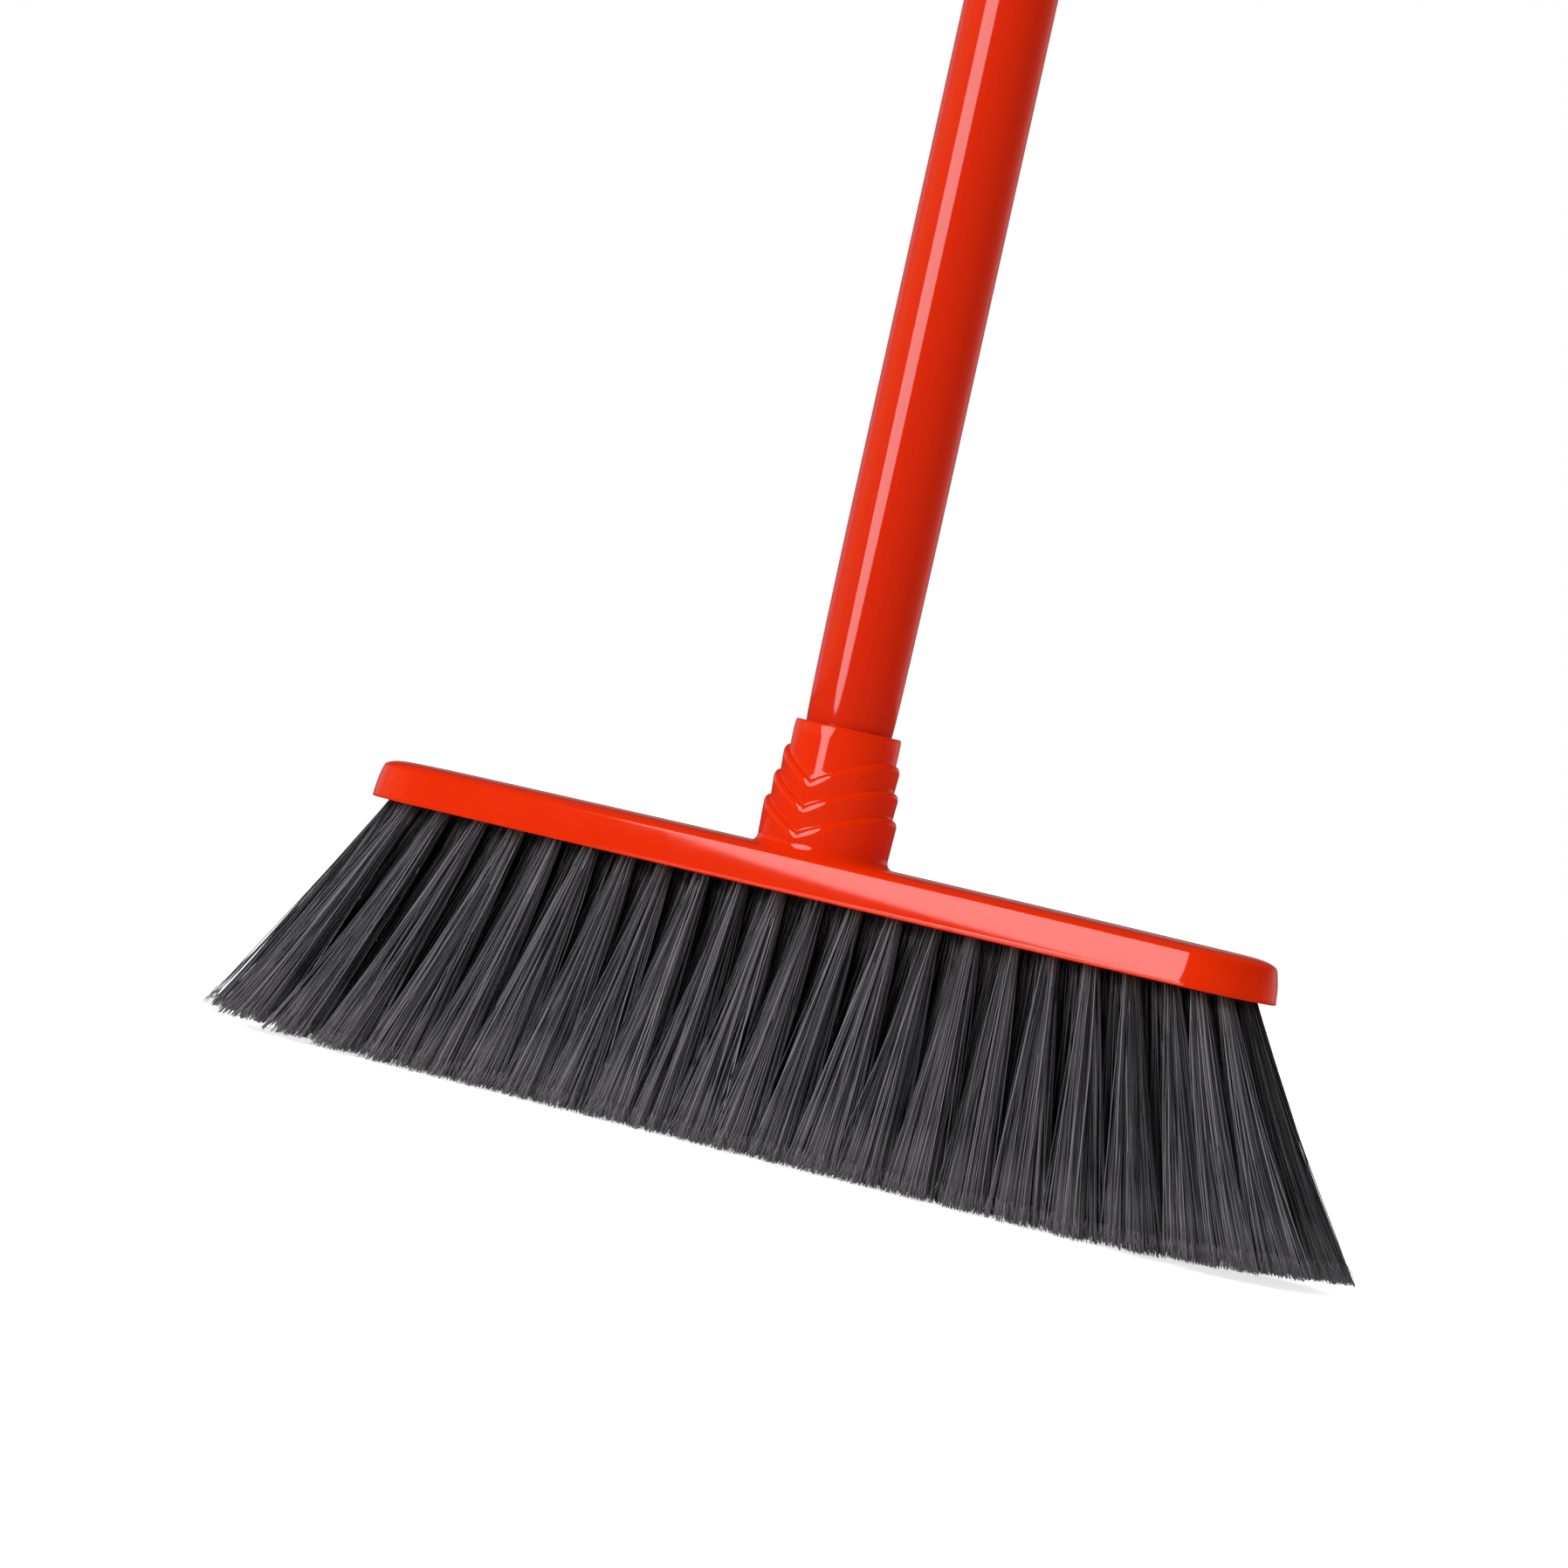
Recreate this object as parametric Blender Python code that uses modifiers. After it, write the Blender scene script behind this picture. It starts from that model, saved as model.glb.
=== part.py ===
"""Indoor broom: a moulded head with a stepped socket, flared tufts and a handle that screws in.

Metres, +Z up. The broom stands on its trimmed tufts at z = 0, and the handle's axis is the Z axis.
"""

import math

import bmesh
import bpy
from mathutils import Matrix, Vector

# Clearance between pieces that touch
FIT_GAP = 0.0003

# Block, from its underside up
BLOCK_LENGTH = 0.281
BLOCK_WIDTH = 0.0393
LIP_HEIGHT = 0.0008
LIP_PROUD = 0.00025
FACE_HEIGHT = 0.009
FACE_DRAFT = 0.0008
CROWN_HEIGHT = 0.0019
CROWN_WIDTH = 0.0075
CROWN_EDGE_ANGLE = math.radians(25)
POCKET_WALL = 0.003
POCKET_DEPTH = 0.003

# Socket, from its rim down
RIM_WALL = 0.0018
SOCKET_HEIGHT = 0.035
TOP_TIER_HEIGHT = 0.0066
TIER_PITCH = 0.0073
STEPPED_TIERS = 3
TIER_SIDE_STEP = 0.0015
TIER_FRONT_STEP = 0.0006
CHEVRON_DROP = 0.01035
ROOT_FILLET = 0.0018

# Handle
TUBE_DIAMETER = 0.025
TUBE_WALL = 0.0004
TUBE_LENGTH = 1.1
TUBE_SEAT_DEPTH = 0.0075
THREAD_DIAMETER = 0.0205
THREAD_LENGTH = 0.0215
TIP_CHAMFER = 0.002
TIP_COLLAR_HEIGHT = 0.002
TIP_PLUG_LENGTH = 0.025

# Hanger cap on the top of the tube
CAP_COLLAR_PROUD = 0.0007
CAP_COLLAR_HEIGHT = 0.008
CAP_DOME_HEIGHT = 0.03
CAP_PLUG_LENGTH = 0.022
CAP_SHOULDER_HEIGHT = 0.004
EYE_THICKNESS = 0.008
EYE_HOLE_DIAMETER = 0.009
EYE_HOLE_FROM_TOP = 0.0105

# Tufts
TUFT_REACH = 0.0705
TUFT_PITCH = 0.012
TUFT_ROWS = 5
EDGE_TO_ROW = 0.00705
END_RING_TUFTS = 5
END_RING_START = 0.0025
END_PAIR_HALF = 0.005
END_FLARE = 0.043
SIDE_FLARE = 0.017
END_RISE = 0.006
TRIM_FLAT_HALF = 0.085
TRIM_DEPTH = 0.0005
STRAND_ROOT_OFFSET = 0.00145
STRAND_ROOT_RADIUS = 0.00075
STRAND_TIP_RADIUS = 0.0013
STRAND_ROOT_SUNK = 0.001

# Facets
END_STEPS = 14
CROWN_STEPS = 4
SOCKET_STEPS = 56
FILLET_STEPS = 3
ROUND_STEPS = 40
DOME_STEPS = 7
SHARP_ANGLE = math.radians(30)

# Working distances: how far a cutter runs past what it cuts, and how near points are welded
PAST = 0.002
WELD = 0.00001

# Places worked out from the sizes above
end_radius = BLOCK_WIDTH / 2
straight_half = BLOCK_LENGTH / 2 - end_radius
block_bottom = TUFT_REACH
face_top = block_bottom + LIP_HEIGHT + FACE_HEIGHT
block_top = face_top + CROWN_HEIGHT
rim_z = block_top + SOCKET_HEIGHT
tube_radius = TUBE_DIAMETER / 2
tube_bore_radius = tube_radius - TUBE_WALL
collar_bore_radius = tube_radius + FIT_GAP
rim_radius = collar_bore_radius + RIM_WALL
tube_bottom = rim_z - TUBE_SEAT_DEPTH
tube_top = tube_bottom + TUBE_LENGTH
collar_seat = tube_bottom - FIT_GAP - TIP_COLLAR_HEIGHT
thread_radius = THREAD_DIAMETER / 2
plug_radius = tube_bore_radius - FIT_GAP
cap_bottom = tube_top + FIT_GAP
cap_collar_top = cap_bottom + CAP_COLLAR_HEIGHT
cap_top = cap_collar_top + CAP_DOME_HEIGHT

columns = int(2 * straight_half / TUFT_PITCH)
pitch = 2 * straight_half / columns
outer_row = end_radius - EDGE_TO_ROW
row_gap = 2 * outer_row / (TUFT_ROWS - 1)
pocket_radius = end_radius - POCKET_WALL
slice_radius = pocket_radius - FIT_GAP
slice_top = block_bottom + POCKET_DEPTH
strand_tip_offset = pitch / 2 - STRAND_TIP_RADIUS - FIT_GAP


def clear_scene():
    for old in list(bpy.data.objects):
        bpy.data.objects.remove(old, do_unlink=True)


def new_collection(name):
    made = bpy.data.collections.new(name)
    bpy.context.scene.collection.children.link(made)
    return made


def plain_material(name, colour, roughness, metallic=0.0):
    made = bpy.data.materials.new(name)
    made.use_nodes = True
    shader = made.node_tree.nodes["Principled BSDF"]
    shader.inputs["Base Color"].default_value = (*colour, 1.0)
    shader.inputs["Roughness"].default_value = roughness
    shader.inputs["Metallic"].default_value = metallic
    return made


def mesh_object(name, bm, collection):
    """A new object from a bmesh, with its faces pointing out."""
    bmesh.ops.recalc_face_normals(bm, faces=bm.faces)
    mesh = bpy.data.meshes.new(name)
    bm.to_mesh(mesh)
    bm.free()
    made = bpy.data.objects.new(name, mesh)
    collection.objects.link(made)
    return made


def as_helper(obj):
    obj.hide_render = True
    obj.display_type = "WIRE"
    return obj


def boolean(obj, other, operation):
    made = obj.modifiers.new(f"{operation.lower()}_{other.name}", "BOOLEAN")
    made.operation = operation
    made.solver = "EXACT"
    made.object = other


def round_shading(obj):
    obj.data.shade_smooth()
    obj.data.set_sharp_from_angle(angle=SHARP_ANGLE)


def turned(name, profile, steps, collection):
    """A profile of (radius, height) points, top to bottom, turned round the Z axis."""
    mesh = bpy.data.meshes.new(name)
    edges = [(i, i + 1) for i in range(len(profile) - 1)]
    mesh.from_pydata([(radius, 0, z) for radius, z in profile], edges, [])
    made = bpy.data.objects.new(name, mesh)
    collection.objects.link(made)
    screw = made.modifiers.new("turn", "SCREW")
    screw.axis = "Z"
    screw.steps = steps
    screw.render_steps = steps
    screw.use_merge_vertices = True
    screw.merge_threshold = WELD
    screw.use_smooth_shade = False
    return made


def cylinder(name, radius_x, radius_y, low, high, steps, collection):
    """An upright cylinder of oval section between two heights."""
    bm = bmesh.new()
    bmesh.ops.create_cone(
        bm, cap_ends=True, segments=steps, radius1=1, radius2=1, depth=high - low
    )
    bmesh.ops.scale(bm, vec=(radius_x, radius_y, 1), verts=bm.verts)
    bmesh.ops.translate(bm, vec=(0, 0, (low + high) / 2), verts=bm.verts)
    return mesh_object(name, bm, collection)


def box(name, low, high, collection):
    bm = bmesh.new()
    bmesh.ops.create_cube(bm, size=1)
    size = [b - a for a, b in zip(low, high)]
    centre = [(a + b) / 2 for a, b in zip(low, high)]
    bmesh.ops.scale(bm, vec=size, verts=bm.verts)
    bmesh.ops.translate(bm, vec=centre, verts=bm.verts)
    return mesh_object(name, bm, collection)


def plate(name, outline, low, high, collection):
    """A flat outline of (x, y) points, raised from one height to another."""
    bm = bmesh.new()
    face = bm.faces.new([bm.verts.new((x, y, low)) for x, y in outline])
    raised = bmesh.ops.extrude_face_region(bm, geom=[face])
    corners = [v for v in raised["geom"] if isinstance(v, bmesh.types.BMVert)]
    bmesh.ops.translate(bm, vec=(0, 0, high - low), verts=corners)
    return mesh_object(name, bm, collection)


def arc(centre_x, radius, start, end, steps):
    """Points from one angle to another on a circle whose centre lies on the X axis."""
    angles = [start + (end - start) * i / steps for i in range(steps + 1)]
    return [(centre_x + radius * math.cos(a), radius * math.sin(a)) for a in angles]


def stadium(radius):
    quarter = math.pi / 2
    right = arc(straight_half, radius, -quarter, quarter, END_STEPS)
    left = arc(-straight_half, radius, quarter, 3 * quarter, END_STEPS)
    return right + left


def block_body(name, collection):
    """The block by itself: a lip, drafted side faces and a low crown, each raised from the last."""
    bm = bmesh.new()
    outline = [bm.verts.new((x, y, block_bottom)) for x, y in stadium(end_radius)]
    face = bm.faces.new(outline)
    raised = bmesh.ops.extrude_face_region(bm, geom=[face])
    corners = [v for v in raised["geom"] if isinstance(v, bmesh.types.BMVert)]
    bmesh.ops.translate(bm, vec=(0, 0, LIP_HEIGHT), verts=corners)
    top = next(f for f in raised["geom"] if isinstance(f, bmesh.types.BMFace))
    span = math.pi / 2 - CROWN_EDGE_ANGLE
    rises = [(LIP_PROUD, 0), (FACE_DRAFT, FACE_HEIGHT)]
    for i in range(CROWN_STEPS):
        a = CROWN_EDGE_ANGLE + span * i / CROWN_STEPS
        b = CROWN_EDGE_ANGLE + span * (i + 1) / CROWN_STEPS
        inward = CROWN_WIDTH * (math.cos(a) - math.cos(b)) / math.cos(CROWN_EDGE_ANGLE)
        upward = CROWN_HEIGHT * (math.sin(b) - math.sin(a)) / (1 - math.sin(CROWN_EDGE_ANGLE))
        rises.append((inward, upward))
    for inward, upward in rises:
        top.normal_update()
        lift = upward if top.normal.z > 0 else -upward
        bmesh.ops.inset_region(
            bm, faces=[top], thickness=inward, depth=lift, use_even_offset=True
        )
    return mesh_object(name, bm, collection)


def tier_radii(tier):
    """The side and front radii of a tier, counted from the plain one at the rim."""
    return rim_radius + tier * TIER_SIDE_STEP, rim_radius + tier * TIER_FRONT_STEP


def chevron_cutter(tier, level, collection):
    """What is cut from the top of a tier: the space over a V that runs straight up to the two sides."""
    side, front = tier_radii(tier)
    outline = [
        (0, level - CHEVRON_DROP),
        (2 * side, level + CHEVRON_DROP),
        (-2 * side, level + CHEVRON_DROP),
    ]
    made = plate(f"chevron_cut_{tier}", outline, -front - PAST, front + PAST, collection)
    made.data.transform(Matrix.Rotation(math.pi / 2, 4, "X"))
    return as_helper(made)


def root_fillet(collection):
    """The sweep of material where the lowest tier grows out of the crown."""
    side, front = tier_radii(STEPPED_TIERS)
    profile = [(0, block_top + ROOT_FILLET)]
    for i in range(FILLET_STEPS + 1):
        turn = math.pi / 2 * i / FILLET_STEPS
        outward = front + ROOT_FILLET * (1 - math.cos(turn))
        profile.append((outward, block_top + ROOT_FILLET * (1 - math.sin(turn))))
    profile.append((front + ROOT_FILLET, block_bottom + POCKET_DEPTH + PAST))
    profile.append((0, block_bottom + POCKET_DEPTH + PAST))
    made = turned("root_fillet", profile, SOCKET_STEPS, collection)
    made.scale.x = side / front
    return as_helper(made)


def make_head_block(parts, cutters):
    block = block_body("head_block", parts)
    boolean(block, root_fillet(cutters), "UNION")
    for tier in range(STEPPED_TIERS, 0, -1):
        level = rim_z - TOP_TIER_HEIGHT - (tier - 1) * TIER_PITCH
        side, front = tier_radii(tier)
        body = cylinder(f"tier_{tier}", side, front, face_top, level, SOCKET_STEPS, cutters)
        boolean(body, chevron_cutter(tier, level, cutters), "DIFFERENCE")
        boolean(block, as_helper(body), "UNION")
    rim = cylinder("tier_rim", rim_radius, rim_radius, face_top, rim_z, SOCKET_STEPS, cutters)
    boolean(block, as_helper(rim), "UNION")
    bore_radius = thread_radius + FIT_GAP
    seat = collar_seat - FIT_GAP
    floor = collar_seat - THREAD_LENGTH - FIT_GAP
    bore = turned(
        "socket_bore",
        [
            (0, rim_z + PAST),
            (collar_bore_radius, rim_z + PAST),
            (collar_bore_radius, seat),
            (bore_radius, seat),
            (bore_radius, floor),
            (0, floor),
        ],
        ROUND_STEPS,
        cutters,
    )
    boolean(block, as_helper(bore), "DIFFERENCE")
    pocket_top = slice_top + FIT_GAP
    pocket = plate("tuft_pocket", stadium(pocket_radius), block_bottom - PAST, pocket_top, cutters)
    boolean(block, as_helper(pocket), "DIFFERENCE")
    return block


def make_handle_tube(parts):
    """An open cylinder with a wall, as the rolled tube is."""
    bm = bmesh.new()
    bmesh.ops.create_cone(
        bm,
        cap_ends=False,
        segments=ROUND_STEPS,
        radius1=tube_radius,
        radius2=tube_radius,
        depth=TUBE_LENGTH,
    )
    bmesh.ops.translate(bm, vec=(0, 0, TUBE_LENGTH / 2), verts=bm.verts)
    tube = mesh_object("handle_tube", bm, parts)
    wall = tube.modifiers.new("wall", "SOLIDIFY")
    wall.thickness = TUBE_WALL
    wall.offset = -1
    wall.use_even_offset = True
    tube.location.z = tube_bottom
    return tube


def make_thread_tip(parts):
    """The plug in the tube's lower end, the collar under the tube and the threaded shank."""
    shank_bottom = collar_seat - THREAD_LENGTH
    profile = [
        (0, tube_bottom + TIP_PLUG_LENGTH),
        (plug_radius, tube_bottom + TIP_PLUG_LENGTH),
        (plug_radius, tube_bottom - FIT_GAP),
        (tube_radius, tube_bottom - FIT_GAP),
        (tube_radius, collar_seat),
        (thread_radius, collar_seat),
        (thread_radius, shank_bottom + TIP_CHAMFER),
        (thread_radius - TIP_CHAMFER, shank_bottom),
        (0, shank_bottom),
    ]
    return turned("thread_tip", profile, ROUND_STEPS, parts)


def make_hanger_cap(parts, cutters):
    """A domed cap with a plug in the tube, cut flat on two sides round the hanging eye."""
    collar = tube_radius + CAP_COLLAR_PROUD
    profile = []
    for i in range(DOME_STEPS + 1):
        turn = math.pi / 2 * i / DOME_STEPS
        profile.append((collar * math.sin(turn), cap_collar_top + CAP_DOME_HEIGHT * math.cos(turn)))
    profile += [
        (collar, cap_bottom),
        (plug_radius, cap_bottom),
        (plug_radius, cap_bottom - CAP_PLUG_LENGTH),
        (0, cap_bottom - CAP_PLUG_LENGTH),
    ]
    cap = turned("hanger_cap", profile, ROUND_STEPS, parts)
    shoulder = cap_collar_top + CAP_SHOULDER_HEIGHT
    for side in (-1, 1):
        near, far = EYE_THICKNESS / 2, collar + PAST
        low = (-collar - PAST, min(side * near, side * far), shoulder)
        high = (collar + PAST, max(side * near, side * far), cap_top + PAST)
        cheek = box(f"cheek_cut_{'front' if side < 0 else 'rear'}", low, high, cutters)
        boolean(cap, as_helper(cheek), "DIFFERENCE")
    hole_radius = EYE_HOLE_DIAMETER / 2
    half_depth = EYE_THICKNESS / 2 + PAST
    hole = cylinder("eye_hole", hole_radius, hole_radius, -half_depth, half_depth, ROUND_STEPS, cutters)
    hole.data.transform(Matrix.Rotation(math.pi / 2, 4, "X"))
    hole.location.z = cap_top - EYE_HOLE_FROM_TOP
    boolean(cap, as_helper(hole), "DIFFERENCE")
    return cap


def column_roots(column):
    """The staggered tufts of one column, front row to rear row."""
    x = (column - (columns - 1) / 2) * pitch
    roots = []
    for row in range(TUFT_ROWS):
        stagger = pitch / 4 if row % 2 == 0 else -pitch / 4
        roots.append((x + stagger, row * row_gap - outer_row))
    return roots


def end_roots(side):
    """The tufts round one end: a ring spread evenly on from the outer rows, and those inside it."""
    lead_in = pitch * (2 - side) / 4
    half_round = math.pi * outer_row
    first = max((2 * lead_in + half_round) / (END_RING_TUFTS + 1) - lead_in, END_RING_START)
    inside = straight_half + pitch / 4
    roots = [(inside, -END_PAIR_HALF), (inside, END_PAIR_HALF)] if side > 0 else [(inside, 0)]
    for i in range(END_RING_TUFTS):
        turn = (first + (half_round - 2 * first) * i / (END_RING_TUFTS - 1)) / outer_row - math.pi / 2
        roots.append((straight_half + outer_row * math.cos(turn), outer_row * math.sin(turn)))
    return [(side * x, y) for x, y in roots]


def facing(root_x, root_y):
    """Turn of a tuft's square of strands: along the rows, but outwards round the ends."""
    past_end = abs(root_x) - straight_half
    if past_end < 0 or abs(root_y) > 0.9 * outer_row:
        return 0.0
    return math.atan2(root_y, math.copysign(past_end, root_x))


def tip_of(root_x, root_y):
    """Where a tuft's middle meets the floor: the lean grows towards the ends and the outer rows."""
    reach_x = straight_half + outer_row
    lean = END_FLARE * (root_x / reach_x) * abs(root_x / reach_x)
    late = max(0, abs(root_x) - TRIM_FLAT_HALF) / (reach_x - TRIM_FLAT_HALF)
    rise = END_RISE * late * late
    share = 1 - rise / TUFT_REACH
    return Vector((root_x + lean * share, root_y + SIDE_FLARE * share * root_y / outer_row, rise))


def strands(name, roots, cutters):
    """The strands of some tufts as one helper mesh: each tuft is a square of four that spreads out."""
    curve = bpy.data.curves.new(name, "CURVE")
    curve.dimensions = "3D"
    curve.bevel_depth = STRAND_ROOT_RADIUS
    curve.bevel_resolution = 0
    curve.use_fill_caps = True
    for root_x, root_y in roots:
        tip = tip_of(root_x, root_y)
        turn = Matrix.Rotation(facing(root_x, root_y), 3, "Z")
        for corner in ((-1, -1, 0), (1, -1, 0), (1, 1, 0), (-1, 1, 0)):
            way_out = turn @ Vector(corner)
            start = Vector((root_x, root_y, block_bottom)) + way_out * STRAND_ROOT_OFFSET
            end = tip + way_out * strand_tip_offset
            fall = (end - start).normalized()
            if tip.z < TRIM_DEPTH:
                end += fall * (TRIM_DEPTH + STRAND_TIP_RADIUS)
            start -= fall * STRAND_ROOT_SUNK
            spline = curve.splines.new("POLY")
            spline.points.add(1)
            for point, place, radius in zip(
                spline.points, (start, end), (STRAND_ROOT_RADIUS, STRAND_TIP_RADIUS)
            ):
                point.co = (*place, 1)
                point.radius = radius / STRAND_ROOT_RADIUS
    loose = bpy.data.objects.new(name, curve)
    cutters.objects.link(loose)
    graph = bpy.context.evaluated_depsgraph_get()
    bm = bmesh.new()
    made = bpy.data.meshes.new_from_object(loose.evaluated_get(graph))
    bm.from_mesh(made)
    bmesh.ops.remove_doubles(bm, verts=bm.verts, dist=WELD)
    bpy.data.objects.remove(loose)
    bpy.data.meshes.remove(made)
    return as_helper(mesh_object(name, bm, cutters))


def add_strands(backing, roots, floor, cutters):
    boolean(backing, strands(f"{backing.name}_strands", roots, cutters), "UNION")
    boolean(backing, floor, "DIFFERENCE")


def make_tufts(parts, cutters):
    """The tufts in groups, each on its own slice of the block's underside and trimmed level."""
    spread = BLOCK_LENGTH
    floor = box("floor_trim", (-spread, -spread, -TUFT_REACH), (spread, spread, 0), cutters)
    as_helper(floor)
    made = []
    for column in range(columns):
        middle = (column - (columns - 1) / 2) * pitch
        half = (pitch - FIT_GAP) / 2
        low = (middle - half, -slice_radius, block_bottom)
        high = (middle + half, slice_radius, slice_top)
        made.append(box(f"tuft_column_{column + 1:02d}", low, high, parts))
        add_strands(made[-1], column_roots(column), floor, cutters)
    quarter = math.pi / 2
    for name, side in (("tuft_end_right", 1), ("tuft_end_left", -1)):
        bow = arc(straight_half + FIT_GAP / 2, slice_radius, -quarter, quarter, END_STEPS)
        outline = [(side * x, side * y) for x, y in bow]
        made.append(plate(name, outline, block_bottom, slice_top, parts))
        add_strands(made[-1], end_roots(side), floor, cutters)
    return made


def dress(objects, finish):
    for obj in objects:
        obj.data.materials.clear()
        obj.data.materials.append(finish)
        round_shading(obj)


def hang_under(name, height, objects, parts):
    """Parents some pieces to an empty on the handle's axis."""
    axis = bpy.data.objects.new(name, None)
    axis.location.z = height
    parts.objects.link(axis)
    for obj in objects:
        obj.parent = axis
        obj.matrix_parent_inverse = Matrix.Translation((0, 0, -height))


def main():
    clear_scene()
    parts = new_collection("indoor_broom")
    cutters = new_collection("cutters")
    block = make_head_block(parts, cutters)
    tube = make_handle_tube(parts)
    tip = make_thread_tip(parts)
    cap = make_hanger_cap(parts, cutters)
    tufts = make_tufts(parts, cutters)
    dress([block], plain_material("red_polypropylene", (0.80, 0.028, 0.006), 0.22))
    dress([tube], plain_material("red_coated_steel", (0.72, 0.022, 0.005), 0.25))
    dress([tip], plain_material("grey_thread_plastic", (0.25, 0.25, 0.26), 0.45))
    dress([cap], plain_material("red_cap_plastic", (0.78, 0.026, 0.006), 0.3))
    dress(tufts, plain_material("grey_filament", (0.06, 0.06, 0.062), 0.5))
    hang_under("handle_axis", rim_z, [tube, tip, cap], parts)


main()
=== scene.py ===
"""Builds the fine surfaces, finishes and studio of an indoor broom over its solid parts.

The head is one glossy moulding with a stepped handle socket, over tufts of flagged filament. A
coated tube screws into the socket and ends in a hanging cap. All lengths are in metres.
"""

import math

import bpy
import numpy as np
from bpy.props import FloatProperty, FloatVectorProperty, IntProperty, PointerProperty
from mathutils import Matrix, Vector


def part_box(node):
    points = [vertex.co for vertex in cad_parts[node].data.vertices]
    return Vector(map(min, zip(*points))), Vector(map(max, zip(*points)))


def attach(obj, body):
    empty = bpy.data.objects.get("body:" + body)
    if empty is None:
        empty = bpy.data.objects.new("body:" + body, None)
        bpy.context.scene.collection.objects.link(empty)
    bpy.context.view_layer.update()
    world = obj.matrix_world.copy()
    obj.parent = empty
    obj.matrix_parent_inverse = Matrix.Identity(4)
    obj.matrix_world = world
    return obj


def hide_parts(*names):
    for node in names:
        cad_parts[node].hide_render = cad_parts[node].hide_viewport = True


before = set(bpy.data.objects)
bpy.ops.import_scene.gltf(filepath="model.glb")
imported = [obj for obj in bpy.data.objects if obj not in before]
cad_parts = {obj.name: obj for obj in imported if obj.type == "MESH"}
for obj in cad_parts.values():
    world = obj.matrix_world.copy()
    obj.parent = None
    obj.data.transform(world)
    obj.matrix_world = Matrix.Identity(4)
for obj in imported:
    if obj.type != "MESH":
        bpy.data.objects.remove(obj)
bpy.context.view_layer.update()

bl_info = {
    "name": "Indoor broom",
    "version": (1, 0, 0),
    "blender": (4, 5, 0),
    "location": "3D View > Sidebar > Broom",
    "description": "Fine surfaces, finishes and studio of an indoor broom",
    "category": "Object",
}

HEAD_LOW, HEAD_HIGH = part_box("head_block")
TUBE_LOW, TUBE_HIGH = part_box("handle_tube")
PLUG_LOW, PLUG_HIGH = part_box("thread_tip")
CAP_LOW, CAP_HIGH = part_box("hanger_cap")
COLUMNS = sorted(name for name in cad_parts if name.startswith("tuft_column_"))

# The block is a stadium: round ends of this radius, and straight sides of this half length.
END_RADIUS = HEAD_HIGH.y
STRAIGHT_HALF = HEAD_HIGH.x - END_RADIUS
# Height of the socket's rim, which is the top of the head.
RIM = HEAD_HIGH.z
# Room between pieces that fit together, and the radii of the thread's crest and of its bore.
GAP = 0.0003
THREAD_CREST = 0.01025
THREAD_BORE = THREAD_CREST + GAP

MM = 0.001
QUARTER = math.pi / 2
SEED = 11


def linear(code):
    """An sRGB hex code such as #E8330F as linear red, green and blue."""
    parts = [int(code[i : i + 2], 16) / 255 for i in (1, 3, 5)]
    return tuple(p / 12.92 if p <= 0.04045 else ((p + 0.055) / 1.055) ** 2.4 for p in parts)


def length(name, description, default):
    """A property for a length."""
    return FloatProperty(
        name=name, description=description, default=default, min=0.0, precision=5, unit="LENGTH"
    )


def colour(name, description, code):
    """A property for a colour, from its sRGB hex code."""
    return FloatVectorProperty(
        name=name, description=description, default=linear(code), min=0.0, max=1.0, size=3,
        subtype="COLOR",
    )


def angle(name, description, degrees):
    """A property for an angle, from its degrees."""
    return FloatProperty(
        name=name, description=description, default=math.radians(degrees), subtype="ANGLE"
    )


def power(name, description, watts):
    """A property for a light's power."""
    return FloatProperty(
        name=name, description=description, default=watts, min=0.0, subtype="POWER"
    )


class BroomHead(bpy.types.PropertyGroup):
    lip_height: length("Lip height", "Height of the plain lip at the lower edge", 0.0008)
    lip_step: length("Lip step", "How far the side face sits in from the lip", 0.00014)
    face_height: length("Face height", "Height of the leaning side face above the lip", 0.009)
    face_draft: length("Face draft", "How far the side face leans in", 0.0004)
    face_bulge: length("Face bulge", "How far the middle of the side face swells", 0.0001)
    end_draft: length("End draft", "How much further the two round ends lean in", 0.0014)
    crown_height: length("Crown height", "Rise of the crowned top above the side face", 0.0019)
    crown_width: length("Crown width", "Width of the crowned band inside the side face", 0.008)
    camber: length("Camber", "Drop of the top from the middle to the ends", 0.0006)
    wall: length("Wall", "Wall round the recess that holds the underside plate", 0.003)
    rim_radius: length("Rim radius", "Outer radius of the socket just under its rim", 0.0147)
    rim_ease: length("Rim ease", "How far the top tier's wall turns in at the rim", 0.00025)
    rim_fall: length("Rim fall", "Height over which the top tier's wall turns in", 0.003)
    bore_radius: length("Bore radius", "Radius of the counterbore that takes the tube", 0.0128)
    top_tier: length("Top tier", "Height of the socket's top tier at its sides", 0.00705)
    top_taper: length("Top taper", "How much narrower the top tier is 16 mm below the rim", 0.00013)
    tier_pitch: length("Tier pitch", "Height from one step to the next", 0.0072)
    side_step: length("Side step", "Width of each step at the socket's sides", 0.00132)
    front_step: length("Front step", "Width of each step at the front and back", 0.0006)
    step_round: length("Step round", "Height of the round on a step's edge at the sides", 0.00115)
    step_fillet: length("Step fillet", "Height of the fillet above a step at the front", 0.00035)
    tier_flare: length("Tier flare", "How much wider each stepped tier is at its top", 0.0003)
    chevron_drop: length("Chevron drop", "How far each step dips at the front and back", 0.0087)
    root_fillet: length("Root fillet", "Radius of the fillet at the foot of the socket", 0.0018)


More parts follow.
